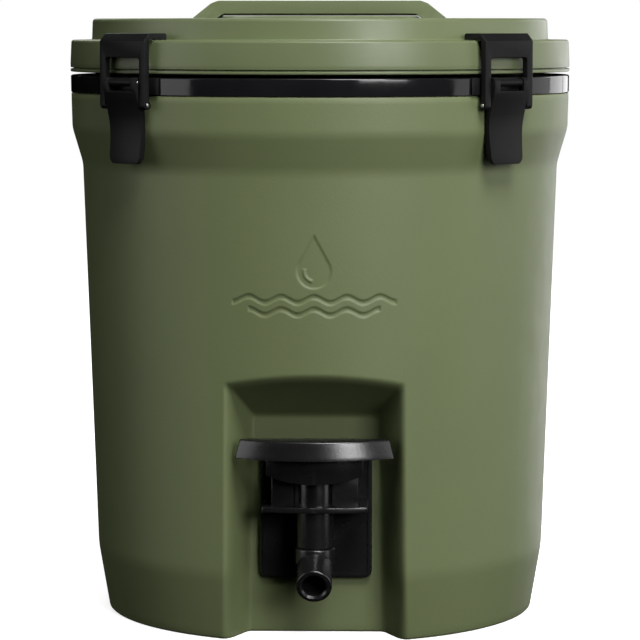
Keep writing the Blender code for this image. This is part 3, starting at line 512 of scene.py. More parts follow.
def gloss_black():
    """Polished black plastic of the rim band, with faint polishing ripples."""
    n = Nodes("gloss_black_plastic")
    n.colour(n.spread(n.noise(35.0, 4.0), 0.3, 0.7), GLOSS_BLACK)
    n.roughness(n.noise(90.0, 5.0), 0.35, 0.7, 0.07, 0.13)
    n.bump(n.noise(160.0, 2.0), 0.02 * MM)
    return n.material


def satin_black():
    """Black latch plastic with a fine spark-eroded grain."""
    n = moulded_plastic("satin_black_plastic", BLACK, BLACK_WORN, 0.4, 2200.0, 0.03 * MM, 0.08)
    n.specular(0.13)
    return n.material


def tap_black():
    """Black tap plastic, glossier and more coarsely grained."""
    n = moulded_plastic("tap_black_plastic", TAP_BLACK, BLACK_WORN, 0.27, 1700.0, 0.028 * MM, 0.08)
    n.specular(0.8)
    return n.material


def liner_white():
    """Food-grade white plastic, slightly waxy."""
    n = moulded_plastic("white_liner_plastic", LINER_WHITE, LINER_WORN, 0.38, 900.0, 0.02 * MM)
    n.shader.inputs["Subsurface Weight"].default_value = 0.05
    return n.material


def foam():
    """Rigid insulating foam with small cells, their hollows painted darker as shade."""
    n = Nodes("insulating_foam")
    pores = n.cells(700.0)
    # painted shade: the darker tone sits in each cell's sunken centre
    n.colour(n.spread(pores, 0.1, 0.6), FOAM_AND_PORE_SHADE_TONES)
    n.shader.inputs["Roughness"].default_value = 0.9
    n.bump(pores, 0.4 * MM)
    return n.material


def rubber():
    """Matte black sealing rubber with a dusty bloom."""
    n = Nodes("seal_rubber")
    bloom = n.spread(n.noise(300.0, 4.0), 0.4, 0.7)
    n.colour(bloom, RUBBER_TONES)
    n.roughness(bloom, 0.0, 1.0, 0.62, 0.8)
    n.bump(n.noise(1800.0, 3.0), 0.03 * MM)
    return n.material


def steel():
    """Drawn steel with fine scratches."""
    n = Nodes("drawn_steel")
    scratch = n.spread(n.noise(1400.0, 3.0, 0.7), 0.35, 0.65)
    n.colour(scratch, STEEL_TONES)
    n.roughness(scratch, 0.0, 1.0, 0.2, 0.34)
    n.shader.inputs["Metallic"].default_value = 1.0
    n.bump(scratch, 0.01 * MM)
    return n.material


# Shell ------------


def on_line(line, z):
    """Value of a (start, slope) line at a height."""
    return line[0] + line[1] * z


def shell_radius(z, inset=0.0):
    """Outer radius of the shell at a height."""
    side = smooth_min(on_line(FOOT_LINE, z), on_line(SIDE_LINE, z), FOOT_BEND)
    flared = smooth_max(side, on_line(FLARE_LINE, z), FLARE_BEND)
    return smooth_min(flared, on_line(COLLAR_LINE, z), COLLAR_BEND) - inset


def recess_splay(z):
    """How far the recess's side walls open out, per unit of depth."""
    half = on_line(MOUTH_HALF, z)
    depth = RECESS_BACK_Y + sqrt(shell_radius(z) ** 2 - half**2)
    return (half - on_line(RECESS_HALF, z)) / depth


def emblem_depth(x, z):
    """Depth of the moulded-in sign: a water drop over two ripples."""
    lean = asin(DROP_RADIUS / (DROP_TIP_Z - DROP_Z))
    circle = np.hypot(x, z - DROP_Z) - DROP_RADIUS
    cone = np.abs(x) * cos(lean) + (z - DROP_TIP_Z) * sin(lean)
    shape = np.where(z > DROP_Z + DROP_RADIUS * sin(lean), cone, circle)
    gleam = np.abs(np.hypot(x, z - DROP_Z) - GLEAM_RADIUS) - GLEAM_HALF
    gleam = np.maximum(gleam, np.maximum(x + GLEAM_END, z - DROP_Z - GLEAM_END))
    shape = np.maximum(shape, -gleam)
    for level, reach in RIPPLES:
        ripple = np.abs(z - level - RIPPLE_RISE * np.cos(x / RIPPLE_PITCH)) - RIPPLE_HALF
        shape = np.minimum(shape, np.maximum(ripple, np.abs(x) - reach))
    return SIGN_DEPTH * np.clip(0.5 - shape / SIGN_EDGE, 0.0, 1.0)


def panel_y(x, z, inset=0.0):
    """Front surface of the shell over its middle panel, with the recess sunk into it."""
    radius = shell_radius(z, inset)
    outer = -np.sqrt(radius**2 - x**2) + emblem_depth(x, z)
    back = RECESS_BACK_Y + inset
    splay = recess_splay(z)
    half = on_line(RECESS_HALF, z) - splay * inset + inset * np.hypot(1.0, splay)
    side = back - (np.abs(x) - half) / splay
    rise = inset * hypot(1.0, RECESS_SLOPE)
    ceiling = back - inset - (z - RECESS_CEILING_Z - rise) / RECESS_SLOPE + inset
    by_side = np.clip(0.5 + 0.5 * (ceiling - side) / CORNER_FADE, 0.0, 1.0)
    walls = smooth_min(side, ceiling, WALL_TO_CEILING)
    hollow = smooth_min(back, walls, on_line(INNER_CORNER, by_side))
    return smooth_max(outer, hollow, on_line(MOUTH_EDGE, by_side))


def stretch(low, high, count):
    """Evenly spaced values from low up to, and without, high."""
    return low + (high - low) * np.arange(count) / count


def shell_ring(z, inset=0.0):
    """Points round the shell at a height, packed closely at the recess's walls."""
    level = min(z, RECESS_CEILING_Z + 24 * MM)
    inner = on_line(RECESS_HALF, level) - WALL_MARGIN[0]
    outer = on_line(MOUTH_HALF, level) + WALL_MARGIN[1]
    ends = (0.0, inner, outer, PANEL_HALF)
    right = np.concatenate([stretch(*part) for part in zip(ends, ends[1:], PANEL_COUNTS)])
    x = np.concatenate([-right[:0:-1], right])
    front = np.stack([x, panel_y(x, z, inset)], axis=-1)
    radius = shell_radius(z, inset)
    corner = asin(PANEL_HALF / radius)
    turns = stretch(corner, 2.0 * pi - corner, BACK_COUNT)
    back = np.stack([radius * np.sin(turns), -radius * np.cos(turns)], axis=-1)
    left_end = np.array([[-PANEL_HALF, panel_y(np.array(-PANEL_HALF), z, inset)]])
    plan = np.concatenate([left_end, front, back])
    return np.concatenate([plan, np.full((len(plan), 1), z)], axis=1)


def shrunk(ring, share, z):
    """The ring drawn in towards a point behind the recess."""
    centre = np.array([0.0, SHRINK_Y, 0.0])
    small = centre + (ring - centre) * share
    small[:, 2] = z
    return small


def levels(*stretches):
    """Heights in millimetres from (low, high, step) stretches, in metres."""
    parts = [np.arange(low, high - step / 2, step) for low, high, step in stretches]
    return np.concatenate(parts) * MM


def shell_skin(finish):
    """Outer shell with its recess, moulded sign, foot and open top, as one closed wall."""
    foot = shell_ring(0.0)
    rows = [(share, FOOT_HOLLOW) for share in (0.02, 0.5, 0.9)]
    rows += [(0.925, 2.0 * MM), (0.935, 0.3 * MM), (0.94, 0.0), (0.985, 0.0)]
    underside = [shrunk(foot, share, z) for share, z in rows]
    heel = [shrunk(shell_ring(z), share, z) for z, share in ((0.15 * MM, 0.994), (0.8 * MM, 0.999))]
    heights = levels(
        *((1.6, 34, 3.6), (34, 46, 1.0), (46, 118, 4.0)),
        *((118, 158, 0.65), (158, 184, 3.0), (184, 236, 0.56)),
        *((236, 258, 4.0), (258, 264, 2.0), (264, 275, 0.7)),
        *((275, 285, 2.0), (285, 295, 0.7), (295, 309.2, 2.4)),
    )
    wall = [shell_ring(z) for z in heights]
    lip = []
    for turn in (20.0, 45.0, 70.0, 90.0):
        drop = SHELL_LIP * (1.0 - sin(radians(turn)))
        inset = SHELL_LIP * (1.0 - cos(radians(turn)))
        lip.append(shell_ring(SHELL_TOP_Z - drop, inset))
    lip.append(shell_ring(SHELL_TOP_Z, SHELL_WALL))
    inner_heights = levels((4, 116, 14.0), (116, 164, 4.0), (164, 260, 24.0), (260, 309, 8.0))
    inside = [shell_ring(z, SHELL_WALL) for z in inner_heights[::-1]]
    floor = [shrunk(inside[-1], share, SHELL_FLOOR_Z) for share in (0.9, 0.5, 0.02)]
    shape = skin("shell_skin", underside + heel + wall + lip + inside + floor)
    piece(shape, "root", finish, "outer_shell", 40.0)


# Band, liner and lid ------------


class SeamGroove:
    """Narrow upright groove at the band's joint."""

    half = 0.5 * MM
    depth = 0.6 * MM

    def __init__(self, angle, radius):
        self.angle = angle
        self.radius = radius
        self.angles = angle + np.array([-2, -1, -0.7, -0.4, 0, 0.4, 0.7, 1, 2]) * self.half / radius

    def __call__(self, turns):
        away = np.abs(turns - self.angle) * self.radius
        return self.depth * np.clip(1.0 - away / self.half, 0.0, 1.0) ** 0.5


def rim_band_skin(finish):
    """Polished ring over the shell's rim, with one butt joint."""
    inner = NECK_RADIUS + GAP
    skirt = BAND_RADIUS - 3.1 * MM
    outline = softened(
        [
            (skirt, BAND_LOW_Z, 0.2 * MM),
            (BAND_RADIUS - 0.15 * MM, BAND_LOW_Z, 0.4 * MM),
            (BAND_RADIUS, BAND_TOP_Z, 1.0 * MM),
            (inner, BAND_TOP_Z, 0.5 * MM),
            (inner, BAND_TOP_Z - BAND_PLATE, 0.2 * MM),
            (skirt, BAND_TOP_Z - BAND_PLATE, 0.5 * MM),
        ],
        8,
    )
    groove = SeamGroove(BAND_SEAM, BAND_RADIUS)
    shape = revolved("rim_band_skin", outline, 240, dent=groove)
    piece(shape, "root", finish, "rim_band")


def shank_hole(front_y, back_y):
    """Rod that cuts the hole for the tap's shank."""
    return plain_rod("hole", (0, front_y, SHANK_Z), (0, back_y, SHANK_Z), SHANK_HOLE)


def liner_ring(radius, z, flat_y, steps=160):
    """Round ring of the liner, pressed flat in front up to a sloping shoulder."""
    turns = 2.0 * np.pi * np.arange(steps) / steps
    x, y = radius * np.sin(turns), -radius * np.cos(turns)
    shoulder = flat_y - np.maximum(z - SHOULDER_Z, 0.0)
    y = smooth_max(y, shoulder + 0 * y, 3 * MM) if shoulder > -radius else y
    return np.stack([x, y, z + 0 * x], axis=-1)


def liner_skin(finish):
    """Water vessel with a coved floor, a rolled mouth and a flange."""
    slope = (LINER_MOUTH - LINER_FOOT) / (BAND_TOP_Z - LINER_FLOOR_Z)

    def side(z, grow):
        return LINER_FOOT + grow + slope * (z - LINER_FLOOR_Z)

    bend = (LINER_FOOT - LINER_COVE, LINER_FLOOR_Z + LINER_COVE)
    cove = arc(bend, LINER_COVE, -90.0, 0.0, 8)
    heights = levels((60, 140, 10.0), (140, 172, 1.6), (172, 312, 14.0))
    flat = LINER_FLAT_Y + LINER_WALL
    inside = [(0.5 * MM, LINER_FLOOR_Z), (40 * MM, LINER_FLOOR_Z), *cove]
    inside += [(side(z, 0.0), z) for z in heights]
    mouth = (side(BAND_TOP_Z, LINER_ROLL), BAND_TOP_Z - LINER_ROLL)
    roll = arc(mouth, LINER_ROLL, 180.0, 90.0, 6)
    flange = [
        (NECK_RADIUS - 0.4 * MM, BAND_TOP_Z),
        (NECK_RADIUS, BAND_TOP_Z - 0.4 * MM),
        (NECK_RADIUS, BAND_TOP_Z - BAND_PLATE),
        (side(BAND_TOP_Z, LINER_WALL), BAND_TOP_Z - BAND_PLATE),
    ]
    outside = [(side(z, LINER_WALL), z) for z in heights[::-1]]
    foot = LINER_FLOOR_Z - LINER_WALL
    outer_cove = arc(bend, LINER_COVE + LINER_WALL, 0.0, -90.0, 8)
    outside += [*outer_cove, (40 * MM, foot), (0.5 * MM, foot)]
    rings = [liner_ring(radius, z, flat) for radius, z in inside + roll]
    rings += [liner_ring(radius, z, -1.0) for radius, z in flange]
    rings += [liner_ring(radius, z, LINER_FLAT_Y) for radius, z in outside]
    shape = skin("liner_skin", rings)
    combined(shape, "DIFFERENCE", shank_hole(-100 * MM, -70 * MM))
    piece(shape, "root", finish, "inner_liner", 40.0)


def foam_skin(finish):
    """Foam between the shell and the liner."""
    inset, top_z = SHELL_WALL + GAP, BAND_TOP_Z - BAND_PLATE - GAP
    heights = levels((4.3, 116, 12.0), (116, 164, 4.0), (164, 260, 24.0), (260, 308, 8.0))
    wall = [shell_ring(z, inset) for z in [*heights, SHELL_TOP_Z]]
    neck = wall[-1].copy()
    neck[:, 2] = top_z
    floor = [shrunk(wall[0], share, heights[0]) for share in (0.02, 0.5, 0.9)]
    shape = skin("foam_skin", floor + wall + [neck])
    low_z = LINER_FLOOR_Z - LINER_WALL - GAP
    reach = LINER_WALL + GAP
    rows = [(0.5 * MM, low_z), (LINER_FOOT - 10 * MM, low_z), (LINER_FOOT + reach, low_z + 12 * MM)]
    heights_up = (100 * MM, SHOULDER_Z, 156 * MM, 176 * MM, 330 * MM)
    rows += [(LINER_FOOT + reach + 4 * MM, z) for z in heights_up]
    core = skin("core", [liner_ring(radius, z, LINER_FLAT_Y - GAP) for radius, z in rows])
    combined(shape, "DIFFERENCE", core, shank_hole(-110 * MM, -70 * MM))
    piece(shape, "root", finish, "foam_insulation", 40.0)


def oval_ring(half_x, half_y, z, steps=240):
    """Oval ring about the jug's axis."""
    turns = 2.0 * np.pi * np.arange(steps) / steps
    return np.stack([half_x * np.sin(turns), -half_y * np.cos(turns), z + 0 * turns], axis=-1)


def lid_outline(depth):
    """(radius, height) points of the lid top from its foot in to the crown, at a depth."""
    flange, disc = FLANGE_RADIUS - depth, DISC_RADIUS - depth
    soft = max(1.0 - depth / LID_WALL, 0.3)
    corners = [
        (flange - 12 * MM, FLANGE_LOW_Z, 0.0),
        (flange - 0.1 * MM, FLANGE_LOW_Z, 0.5 * MM if depth == 0.0 else 0.0),
        (flange, FLANGE_LOW_Z + 2.2 * MM, 6 * MM),
        (flange - 0.65 * MM, LEDGE_Z - depth, 1.6 * MM * soft),
        (disc + 0.1 * MM, LEDGE_Z - depth, 1.0 * MM),
        (disc - 0.4 * MM, DISC_EDGE_Z - depth + 0.25 * MM, 2.2 * MM * soft),
        (80 * MM, DISC_TOP_Z - depth, 0.0),
    ]
    return softened(corners, 7)[1:]


def well_rings(depth):
    """Oval rings from the crown over the rolled rim and down to the middle of the finger well."""
    floor_z = CROWN_Z - WELL_DEPTH - depth
    rise = CROWN_Z - DISC_TOP_Z
    rows = [(rise, 10 * MM), (rise, 7 * MM), (0.9 * rise, 6.2 * MM), (0.5 * rise, 5.6 * MM)]
    rows += [(0.1 * rise, 4.9 * MM), (0.0, 4.2 * MM), (0.0, 3.2 * MM)]
    for turn in (0.0, 22.5, 45.0, 67.5, 90.0):
        angle = radians(turn)
        rows.append((WELL_ROLL * (1.0 - cos(angle)), WELL_ROLL * (1.0 - sin(angle))))
    wall_low = WELL_DEPTH - WELL_COVE
    rows += [(WELL_ROLL + (wall_low - WELL_ROLL) * k / 4, -WELL_DRAFT * k / 4) for k in (1, 2, 3)]
    for turn in (0.0, 18.0, 36.0, 54.0, 72.0, 90.0):
        angle = radians(turn)
        out = -WELL_DRAFT - WELL_COVE * (1 - cos(angle))
        rows.append((wall_low + WELL_COVE * sin(angle), out))
    flat = -WELL_DRAFT - WELL_COVE
    rows += [(WELL_DEPTH, flat - 12 * MM), (WELL_DEPTH, flat - 28 * MM)]
    rings = []
    for fall, out in rows:
        z = max(CROWN_Z - fall - depth, floor_z)
        rings.append(oval_ring(WELL_HALF_X + out + depth, WELL_HALF_Y + out + depth, z))
    rings.append(oval_ring(0.5 * MM, 0.5 * MM, floor_z))
    return rings


def lid_top_skin(finish):
    """Upper half of the lid: ledge for the hooks, crowned disc and finger well."""
    outer = [oval_ring(radius, radius, z) for radius, z in lid_outline(0.0)] + well_rings(0.0)
    inner = [oval_ring(radius, radius, z) for radius, z in lid_outline(LID_WALL)]
    inner += well_rings(LID_WALL)
    shape = skin("lid_top_skin", outer[::-1] + inner)
    piece(shape, "lid", finish, "lid_top", 40.0)


def lid_base_skin(finish):
    """Lower half of the lid: thin lip, and the plug that enters the liner."""
    wall = 2.2 * MM
    inner = PLUG_RADIUS - wall
    step_z = LIP_LOW_Z + wall
    neck = FLANGE_RADIUS - 1.8 * MM
    corners = [
        (0.0, PLUG_LOW_Z + wall, 0.0),
        (inner - 0.5 * MM, PLUG_LOW_Z + wall, 2 * MM),
        (inner, step_z, 0.5 * MM),
        (neck, step_z, 0.0),
        (neck, LIP_TOP_Z, 0.0),
        (LIP_RADIUS, LIP_TOP_Z, 0.35 * MM),
        (LIP_RADIUS, LIP_LOW_Z, 0.6 * MM),
        (PLUG_RADIUS, LIP_LOW_Z, 1.2 * MM),
        (PLUG_RADIUS - 0.5 * MM, PLUG_LOW_Z, 4 * MM),
        (62 * MM, PLUG_LOW_Z, 1 * MM),
        (60 * MM, PLUG_LOW_Z + 1.0 * MM, 1 * MM),
        (0.0, PLUG_LOW_Z + 1.0 * MM, 0.0),
    ]
    shape = revolved("lid_base_skin", softened(corners, 6), 240)
    piece(shape, "lid", finish, "lid_base", 40.0)


def lid_gasket_skin(finish):
    """Flat seal with rounded lips, held in the lid's underside."""
    low_z, high_z = BAND_TOP_Z + GAP, LIP_LOW_Z - GAP
    outer = NECK_RADIUS - 0.2 * MM
    inner = outer - 9 * MM
    round_off = 0.6 * MM
    corners = [
        (inner, low_z, round_off),
        (inner + 3 * MM, low_z, 0.3 * MM),
        (inner + 3.6 * MM, low_z + 0.5 * MM, 0.3 * MM),
        (outer - 3.6 * MM, low_z + 0.5 * MM, 0.3 * MM),
        (outer - 3 * MM, low_z, 0.3 * MM),
        (outer, low_z, round_off),
        (outer, high_z, round_off),
        (inner, high_z, round_off),
    ]
    shape = revolved("lid_gasket_skin", softened(corners, 4), 192)
    piece(shape, "lid", finish, "lid_gasket", 50.0)


def handle_skin(finish):
    """Carrying bar: a flat arch with rounded long edges, splayed feet and a stepped underside."""
    foot_z = DISC_TOP_Z + 0.1 * MM
    right = [(61.2 * MM, foot_z, 0.3 * MM), (75.8 * MM, foot_z, 0.3 * MM)]
    right += in_mm((64.6, 363.6, 5), (60.3, 365.2, 5))
    left = [(-x, z, r) for x, z, r in reversed(right)]
    under = in_mm((-57.2, 357.4, 1.2), (57.2, 357.4, 1.2))
    outline = softened(right + left + under, 8)
    shape = prism("handle_skin", outline, "Y", -HANDLE_HALF_Y, HANDLE_HALF_Y)
    bevelled(shape, HANDLE_EDGE, 7, 60.0)
    plan = in_mm((-58.5, 356.3), (58.5, 356.3), (58.5, 361), (-58.5, 361))
    rib = prism("rib", plan, "Y", -HANDLE_RIB_HALF_Y, HANDLE_RIB_HALF_Y)
    combined(shape, "UNION", rib)
    piece(shape, "lid", finish, "lid_handle", 40.0)


# Latches ------------


def from_side(points):
    """(radius, height, rounding) points as (y, z, rounding)."""
    return [(-radius, z, soft) for radius, z, soft in points]


def across(place, half):
    """Two ends of a line across the latch, through a (radius, height) place."""
    return (-half, -place[0], place[1]), (half, -place[0], place[1])


def pin_hole(place):
    """Rod that drills a pin's hole across the latch."""
    return plain_rod("hole", *across(place, 30 * MM), PIN_HOLE, steps=24)


def bracket_shape():
    """Curved pad on the band, with gussets and the knuckle that the lever turns on."""
    outer, inner = 150.8 * MM, 149.7 * MM
    reach = degrees(asin(BRACKET_HALF / outer))
    front = arc((0.0, 0.0), outer, -90.0 - reach, -90.0 + reach, 24)
    back = arc((0.0, 0.0), inner, -90.0 + reach, -90.0 - reach, 24)
    shape = prism("bracket", front + back, "Z", 311.4 * MM, 321.0 * MM)
    bevelled(shape, 0.3 * MM, 2, 50.0)
    arm_half = KNUCKLE_RADIUS * 0.98
    arm = block(
        "arm",
        (-KNUCKLE_HALF, -PIVOT[0], PIVOT[1] - arm_half),
        (KNUCKLE_HALF, -outer + 0.5 * MM, PIVOT[1] + arm_half),
    )
    knuckle = plain_rod("knuckle", *across(PIVOT, KNUCKLE_HALF), KNUCKLE_RADIUS, 0.3 * MM, 32)
    combined(shape, "UNION", arm, knuckle)
    return combined(shape, "DIFFERENCE", pin_hole(PIVOT))


def lever_front(shift, steps=14):
    """Front of the lever from its shoulder to its tip: a gentle waist that turns out at the tip."""
    top_z, low_z = 315.0 * MM, 272.2 * MM
    shoulder, fall, flick = 157.3 * MM, 4.9 * MM, 1.35 * MM
    waist = 0.56
    points = []
    for k in range(steps + 1):
        share = k / steps
        z = top_z + (low_z - top_z) * share
        radius = shoulder - fall * sin(radians(90.0 * min(share / waist, 1.0))) ** 1.2
        if share > waist:
            radius += flick * sin(radians(90.0 * (share - waist) / (1.0 - waist))) ** 2
        points.append((radius - shift, z, 0.0))
    return points


def lever_shape():
    """Lever: a channel with two round ears, tapering to a rounded finger tip."""
    half, flange = LEVER_HALF, LEVER_FLANGE
    ear = [(-y, z, 0.0) for y, z in arc((-PIVOT[0], PIVOT[1]), 2.9 * MM, 180.0, 10.0, 12)]
    back = in_mm((151.2, 312.0, 1.0), (150.3, 303.0, 4.0), (149.2, 290.0, 8.0))
    back += in_mm((149.2, 281.0, 6.0), (150.3, 272.2, 0.8))
    outline = softened(from_side(list(reversed(lever_front(0.0))) + ear + back), 4)
    shape = prism("lever", outline, "X", -half, half)
    floor_z = 273.8 * MM
    inside = [(140 * MM, 330 * MM, 0.0), *lever_front(1.6 * MM)[:-1]]
    inside += [(152.1 * MM, floor_z, 0.0), (140 * MM, floor_z, 0.0)]
    channel = prism("channel", softened(from_side(inside)), "X", flange - half, half - flange)
    slot = block("slot", (-9.85 * MM, -165 * MM, 313.6 * MM), (9.85 * MM, -140 * MM, 330 * MM))
    right = [(half + 1 * MM, 325 * MM, 0.0), (half, 300 * MM, 25 * MM)]
    right += in_mm((13.3, 284, 20), (12.6, 272.0, 4.6))
    face = softened(right + [(-x, z, r) for x, z, r in reversed(right)], 6)
    combined(shape, "DIFFERENCE", channel, slot)
    combined(shape, "INTERSECT", prism("face", face, "Y", -170 * MM, -140 * MM))
    bevelled(shape, 0.4 * MM, 3, 40.0)
    return combined(shape, "DIFFERENCE", pin_hole(PIVOT), pin_hole(LINK))


def hook_shape():
    """Hook: two legs joined by a bridge that reaches over the lid's ledge."""
    under_z = LEDGE_Z + GAP
    boss = [(-y, z, 0.0) for y, z in arc((-LINK[0], LINK[1]), 2.6 * MM, 0.0, -180.0, 12)]
    outline = [
        *boss,
        *in_mm((155.0, 341.7, 1.2), (151.0, 346.0, 1.0)),
        (HOOK_REACH, 346.0 * MM, 1.4 * MM),
        (HOOK_REACH, under_z, 0.4 * MM),
        (151.2 * MM, under_z, 0.8 * MM),
        (151.2 * MM, 308.1 * MM, 2.0 * MM),
    ]
    shape = prism("hook", softened(from_side(outline)), "X", -HOOK_HALF, HOOK_HALF)
    side, top_z = 14.85 * MM, 332.35 * MM
    right = [(side, 290 * MM, 0.0), (side, top_z, 2.2 * MM)]
    window = softened(right + [(-x, z, r) for x, z, r in reversed(right)], 6)
    combined(shape, "DIFFERENCE", prism("window", window, "Y", -170 * MM, -145 * MM))
    bevelled(shape, 0.45 * MM, 3, 40.0)
    return combined(shape, "DIFFERENCE", pin_hole(LINK))


def pin_shape(place, half):
    """Steel pin with rounded ends."""
    return plain_rod("pin", *across(place, half), PIN_RADIUS, 0.5 * MM, 24)


def latch_skins(plastic, metal):
    """Latch pieces, one set for each place round the rim."""
    patterns = (
        ("latch_bracket", bracket_shape(), "root", "black_plastic", plastic),
        ("latch_pivot_pin", pin_shape(PIVOT, 14.0 * MM), "root", "steel", metal),
        ("latch_lever", lever_shape(), "lever_", "black_plastic", plastic),
        ("latch_link_pin", pin_shape(LINK, 19.85 * MM), "lever_", "steel", metal),
        ("latch_hook", hook_shape(), "hook_", "black_plastic", plastic),
    )
    for title, pattern, body, slot, finish in patterns:
        for place, angle in LATCHES.items():
            copy = new_object(f"{title}_skin_{place}", pattern.data.copy())
            copy.data.transform(Matrix.Rotation(radians(angle), 4, "Z"))
            rider = body if body == "root" else body + place
            piece(copy, rider, finish, f"{title}_{place}", 35.0)
        bpy.data.objects.remove(pattern)


# Tap ------------


def on_axis(z):
    """Point on the barrel's axis, from its height in millimetres."""
    return (0.0, TAP_Y, z * MM)


def back_plate_skin(finish):
    """Plate behind the tap, with a raised border."""
    half, low_z, top_z = 32.3 * MM, 32.6 * MM, 112.0 * MM
    back_y, front_y = RECESS_BACK_Y - GAP, RECESS_BACK_Y - GAP - PLATE_THICK

    def outline(inset, corner):
        sides = [(half - inset, low_z + inset), (half - inset, top_z - inset)]
        sides += [(-x, z) for x, z in reversed(sides)]
        return softened([(x, z, corner - inset) for x, z in sides], 8)

    shape = prism("back_plate_skin", outline(0.0, 4.4 * MM), "Y", front_y, back_y)
    bevelled(shape, 0.9 * MM, 4, 60.0)
    sunk = prism("sunk", outline(2.4 * MM, 4.4 * MM), "Y", front_y - 1 * MM, front_y + 0.6 * MM)
    combined(shape, "DIFFERENCE", sunk, shank_hole(-110 * MM, -85 * MM))
    piece(shape, "root", finish, "tap_back_plate")


def tap_body_skin(finish):
    """Tap body: barrel, shelf for the fingers, two-sided housing and the shank through the wall."""
    front_y = RECESS_BACK_Y - 2 * GAP - PLATE_THICK
    shelf_half, housing_half, low_z = 30.2 * MM, 24.8 * MM, 53.8 * MM
    front = [(x, y, 0.0) for x, y in bowed(shelf_half, -125.5 * MM, 4 * MM)]
    front[0] = (*front[0][:2], 3 * MM)
    front[-1] = (*front[-1][:2], 3 * MM)
    plan = softened([(shelf_half, front_y, 0.5 * MM), *front, (-shelf_half, front_y, 0.5 * MM)], 6)
    body = bevelled(prism("tap_body_skin", plan, "Z", 75.0 * MM, 78.2 * MM), 0.7 * MM, 3, 50.0)
    housing = block("housing", (-housing_half, -122 * MM, 77.5 * MM), (housing_half, front_y, 96.8 * MM))
    bevelled(housing, 0.8 * MM, 3)
    axis_low, axis_high = (0.0, TAP_Y, low_z), on_axis(96.7)
    barrel = plain_rod("barrel", axis_low, axis_high, 10.6 * MM, 0.6 * MM, 64)
    neck = plain_rod("neck", (0.0, TAP_Y, SHANK_Z), (0.0, front_y, SHANK_Z), 10 * MM)
    shank = plain_rod("shank", (0.0, TAP_Y, SHANK_Z), (0.0, -72 * MM, SHANK_Z), 8.4 * MM, 0.6 * MM)
    ribs = [
        block("rib", (-x - 0.8 * MM, -123.2 * MM, 79 * MM), (-x + 0.8 * MM, -110 * MM, 96 * MM))
        for x in (-10.5 * MM, 10.5 * MM)
    ]
    combined(body, "UNION", housing, barrel, neck, shank, *ribs)

    def bore(low, high, radius):
        return plain_rod("bore", on_axis(low), on_axis(high), radius)

    water = plain_rod("water", (0.0, TAP_Y, SHANK_Z), (0.0, -70 * MM, SHANK_Z), 5 * MM)
    combined(
        body,
        "DIFFERENCE",
        bore(50.0, 59.0, 9 * MM),
        bore(58.0, 61.5, VALVE_BORE),
        bore(60.5, 64.5, 4.2 * MM),
        bore(63.5, 74.0, VALVE_BORE),
        bore(73.0, 81.0, STEM_HOLE),
        bore(80.0, 102.0, 7.2 * MM),
        water,
    )
    piece(body, "root", finish, "tap_body")


def paddle_section(inset, z, lean):
    """Plan of the paddle's cap at a height, drawn in by inset."""
    half, back_half = 45.4 * MM - lean * 2.5 * MM - inset, 36.5 * MM - inset
    corner_y = -128 * MM + lean * 1.8 * MM + inset * 0.6
    front = [(x, y, 0.0) for x, y in bowed(half, corner_y, 14.4 * MM, 48)]
    front[0] = (*front[0][:2], 1.6 * MM)
    front[-1] = (*front[-1][:2], 1.6 * MM)
    back = [(-back_half, -121.5 * MM - inset, 1.2 * MM), (back_half, -121.5 * MM - inset, 1.2 * MM)]
    return [(x, y, z) for x, y in softened(front + back, 4)]


def paddle_skin(finish):
    """Wide bowed cap that a hand presses, with its skirt and stem boss."""
    low_z, top_z, rim = 106.5 * MM, 117.2 * MM, 0.9 * MM
    rows = [(0.6 * MM, low_z), (0.15 * MM, low_z + 0.1 * MM), (0.0, low_z + 0.5 * MM)]
    rows += [(0.0, low_z + (top_z - rim - low_z) * k / 4) for k in (1, 2, 3)]
    for turn in (0.0, 22.5, 45.0, 67.5, 90.0):
        angle = radians(turn)
        rows.append((rim * (1.0 - cos(angle)), top_z - rim * (1.0 - sin(angle))))
    rings = [paddle_section(inset, z, (z - low_z) / (top_z - low_z)) for inset, z in rows]
    cap = skin("paddle_skin", rings)
    half, wall, back_y = 27.6 * MM, 2.2 * MM, -104.5 * MM
    outer = bowed(half, -128.5 * MM, 7 * MM, 40)
    inner = bowed(half - wall, -128.5 * MM + wall, 7 * MM, 40)
    plan = [*outer, (-half, back_y), (wall - half, back_y)]
    plan += [*reversed(inner), (half - wall, back_y), (half, back_y)]
    skirt = prism("skirt", plan, "Z", 90.2 * MM, 106.9 * MM)
    hem = bowed(half + 1 * MM, 97.0 * MM, 4.8 * MM, 40)
    hem += [(-half - 1 * MM, 130 * MM), (half + 1 * MM, 130 * MM)]
    combined(skirt, "INTERSECT", prism("hem", hem, "Y", -140 * MM, -100 * MM))
    bevelled(skirt, 0.35 * MM, 2, 50.0)
    deck_plan = [*outer, (-half, back_y), (half, back_y)]
    deck = prism("deck", deck_plan, "Z", 105.4 * MM, 107.4 * MM)
    boss = plain_rod("boss", on_axis(105.4), on_axis(112.4), 5 * MM)
    combined(cap, "UNION", deck, skirt, boss)
    hole = plain_rod("hole", on_axis(102), on_axis(111.3), STEM_HOLE, steps=24)
    combined(cap, "DIFFERENCE", hole)
    piece(cap, "paddle", finish, "tap_paddle")


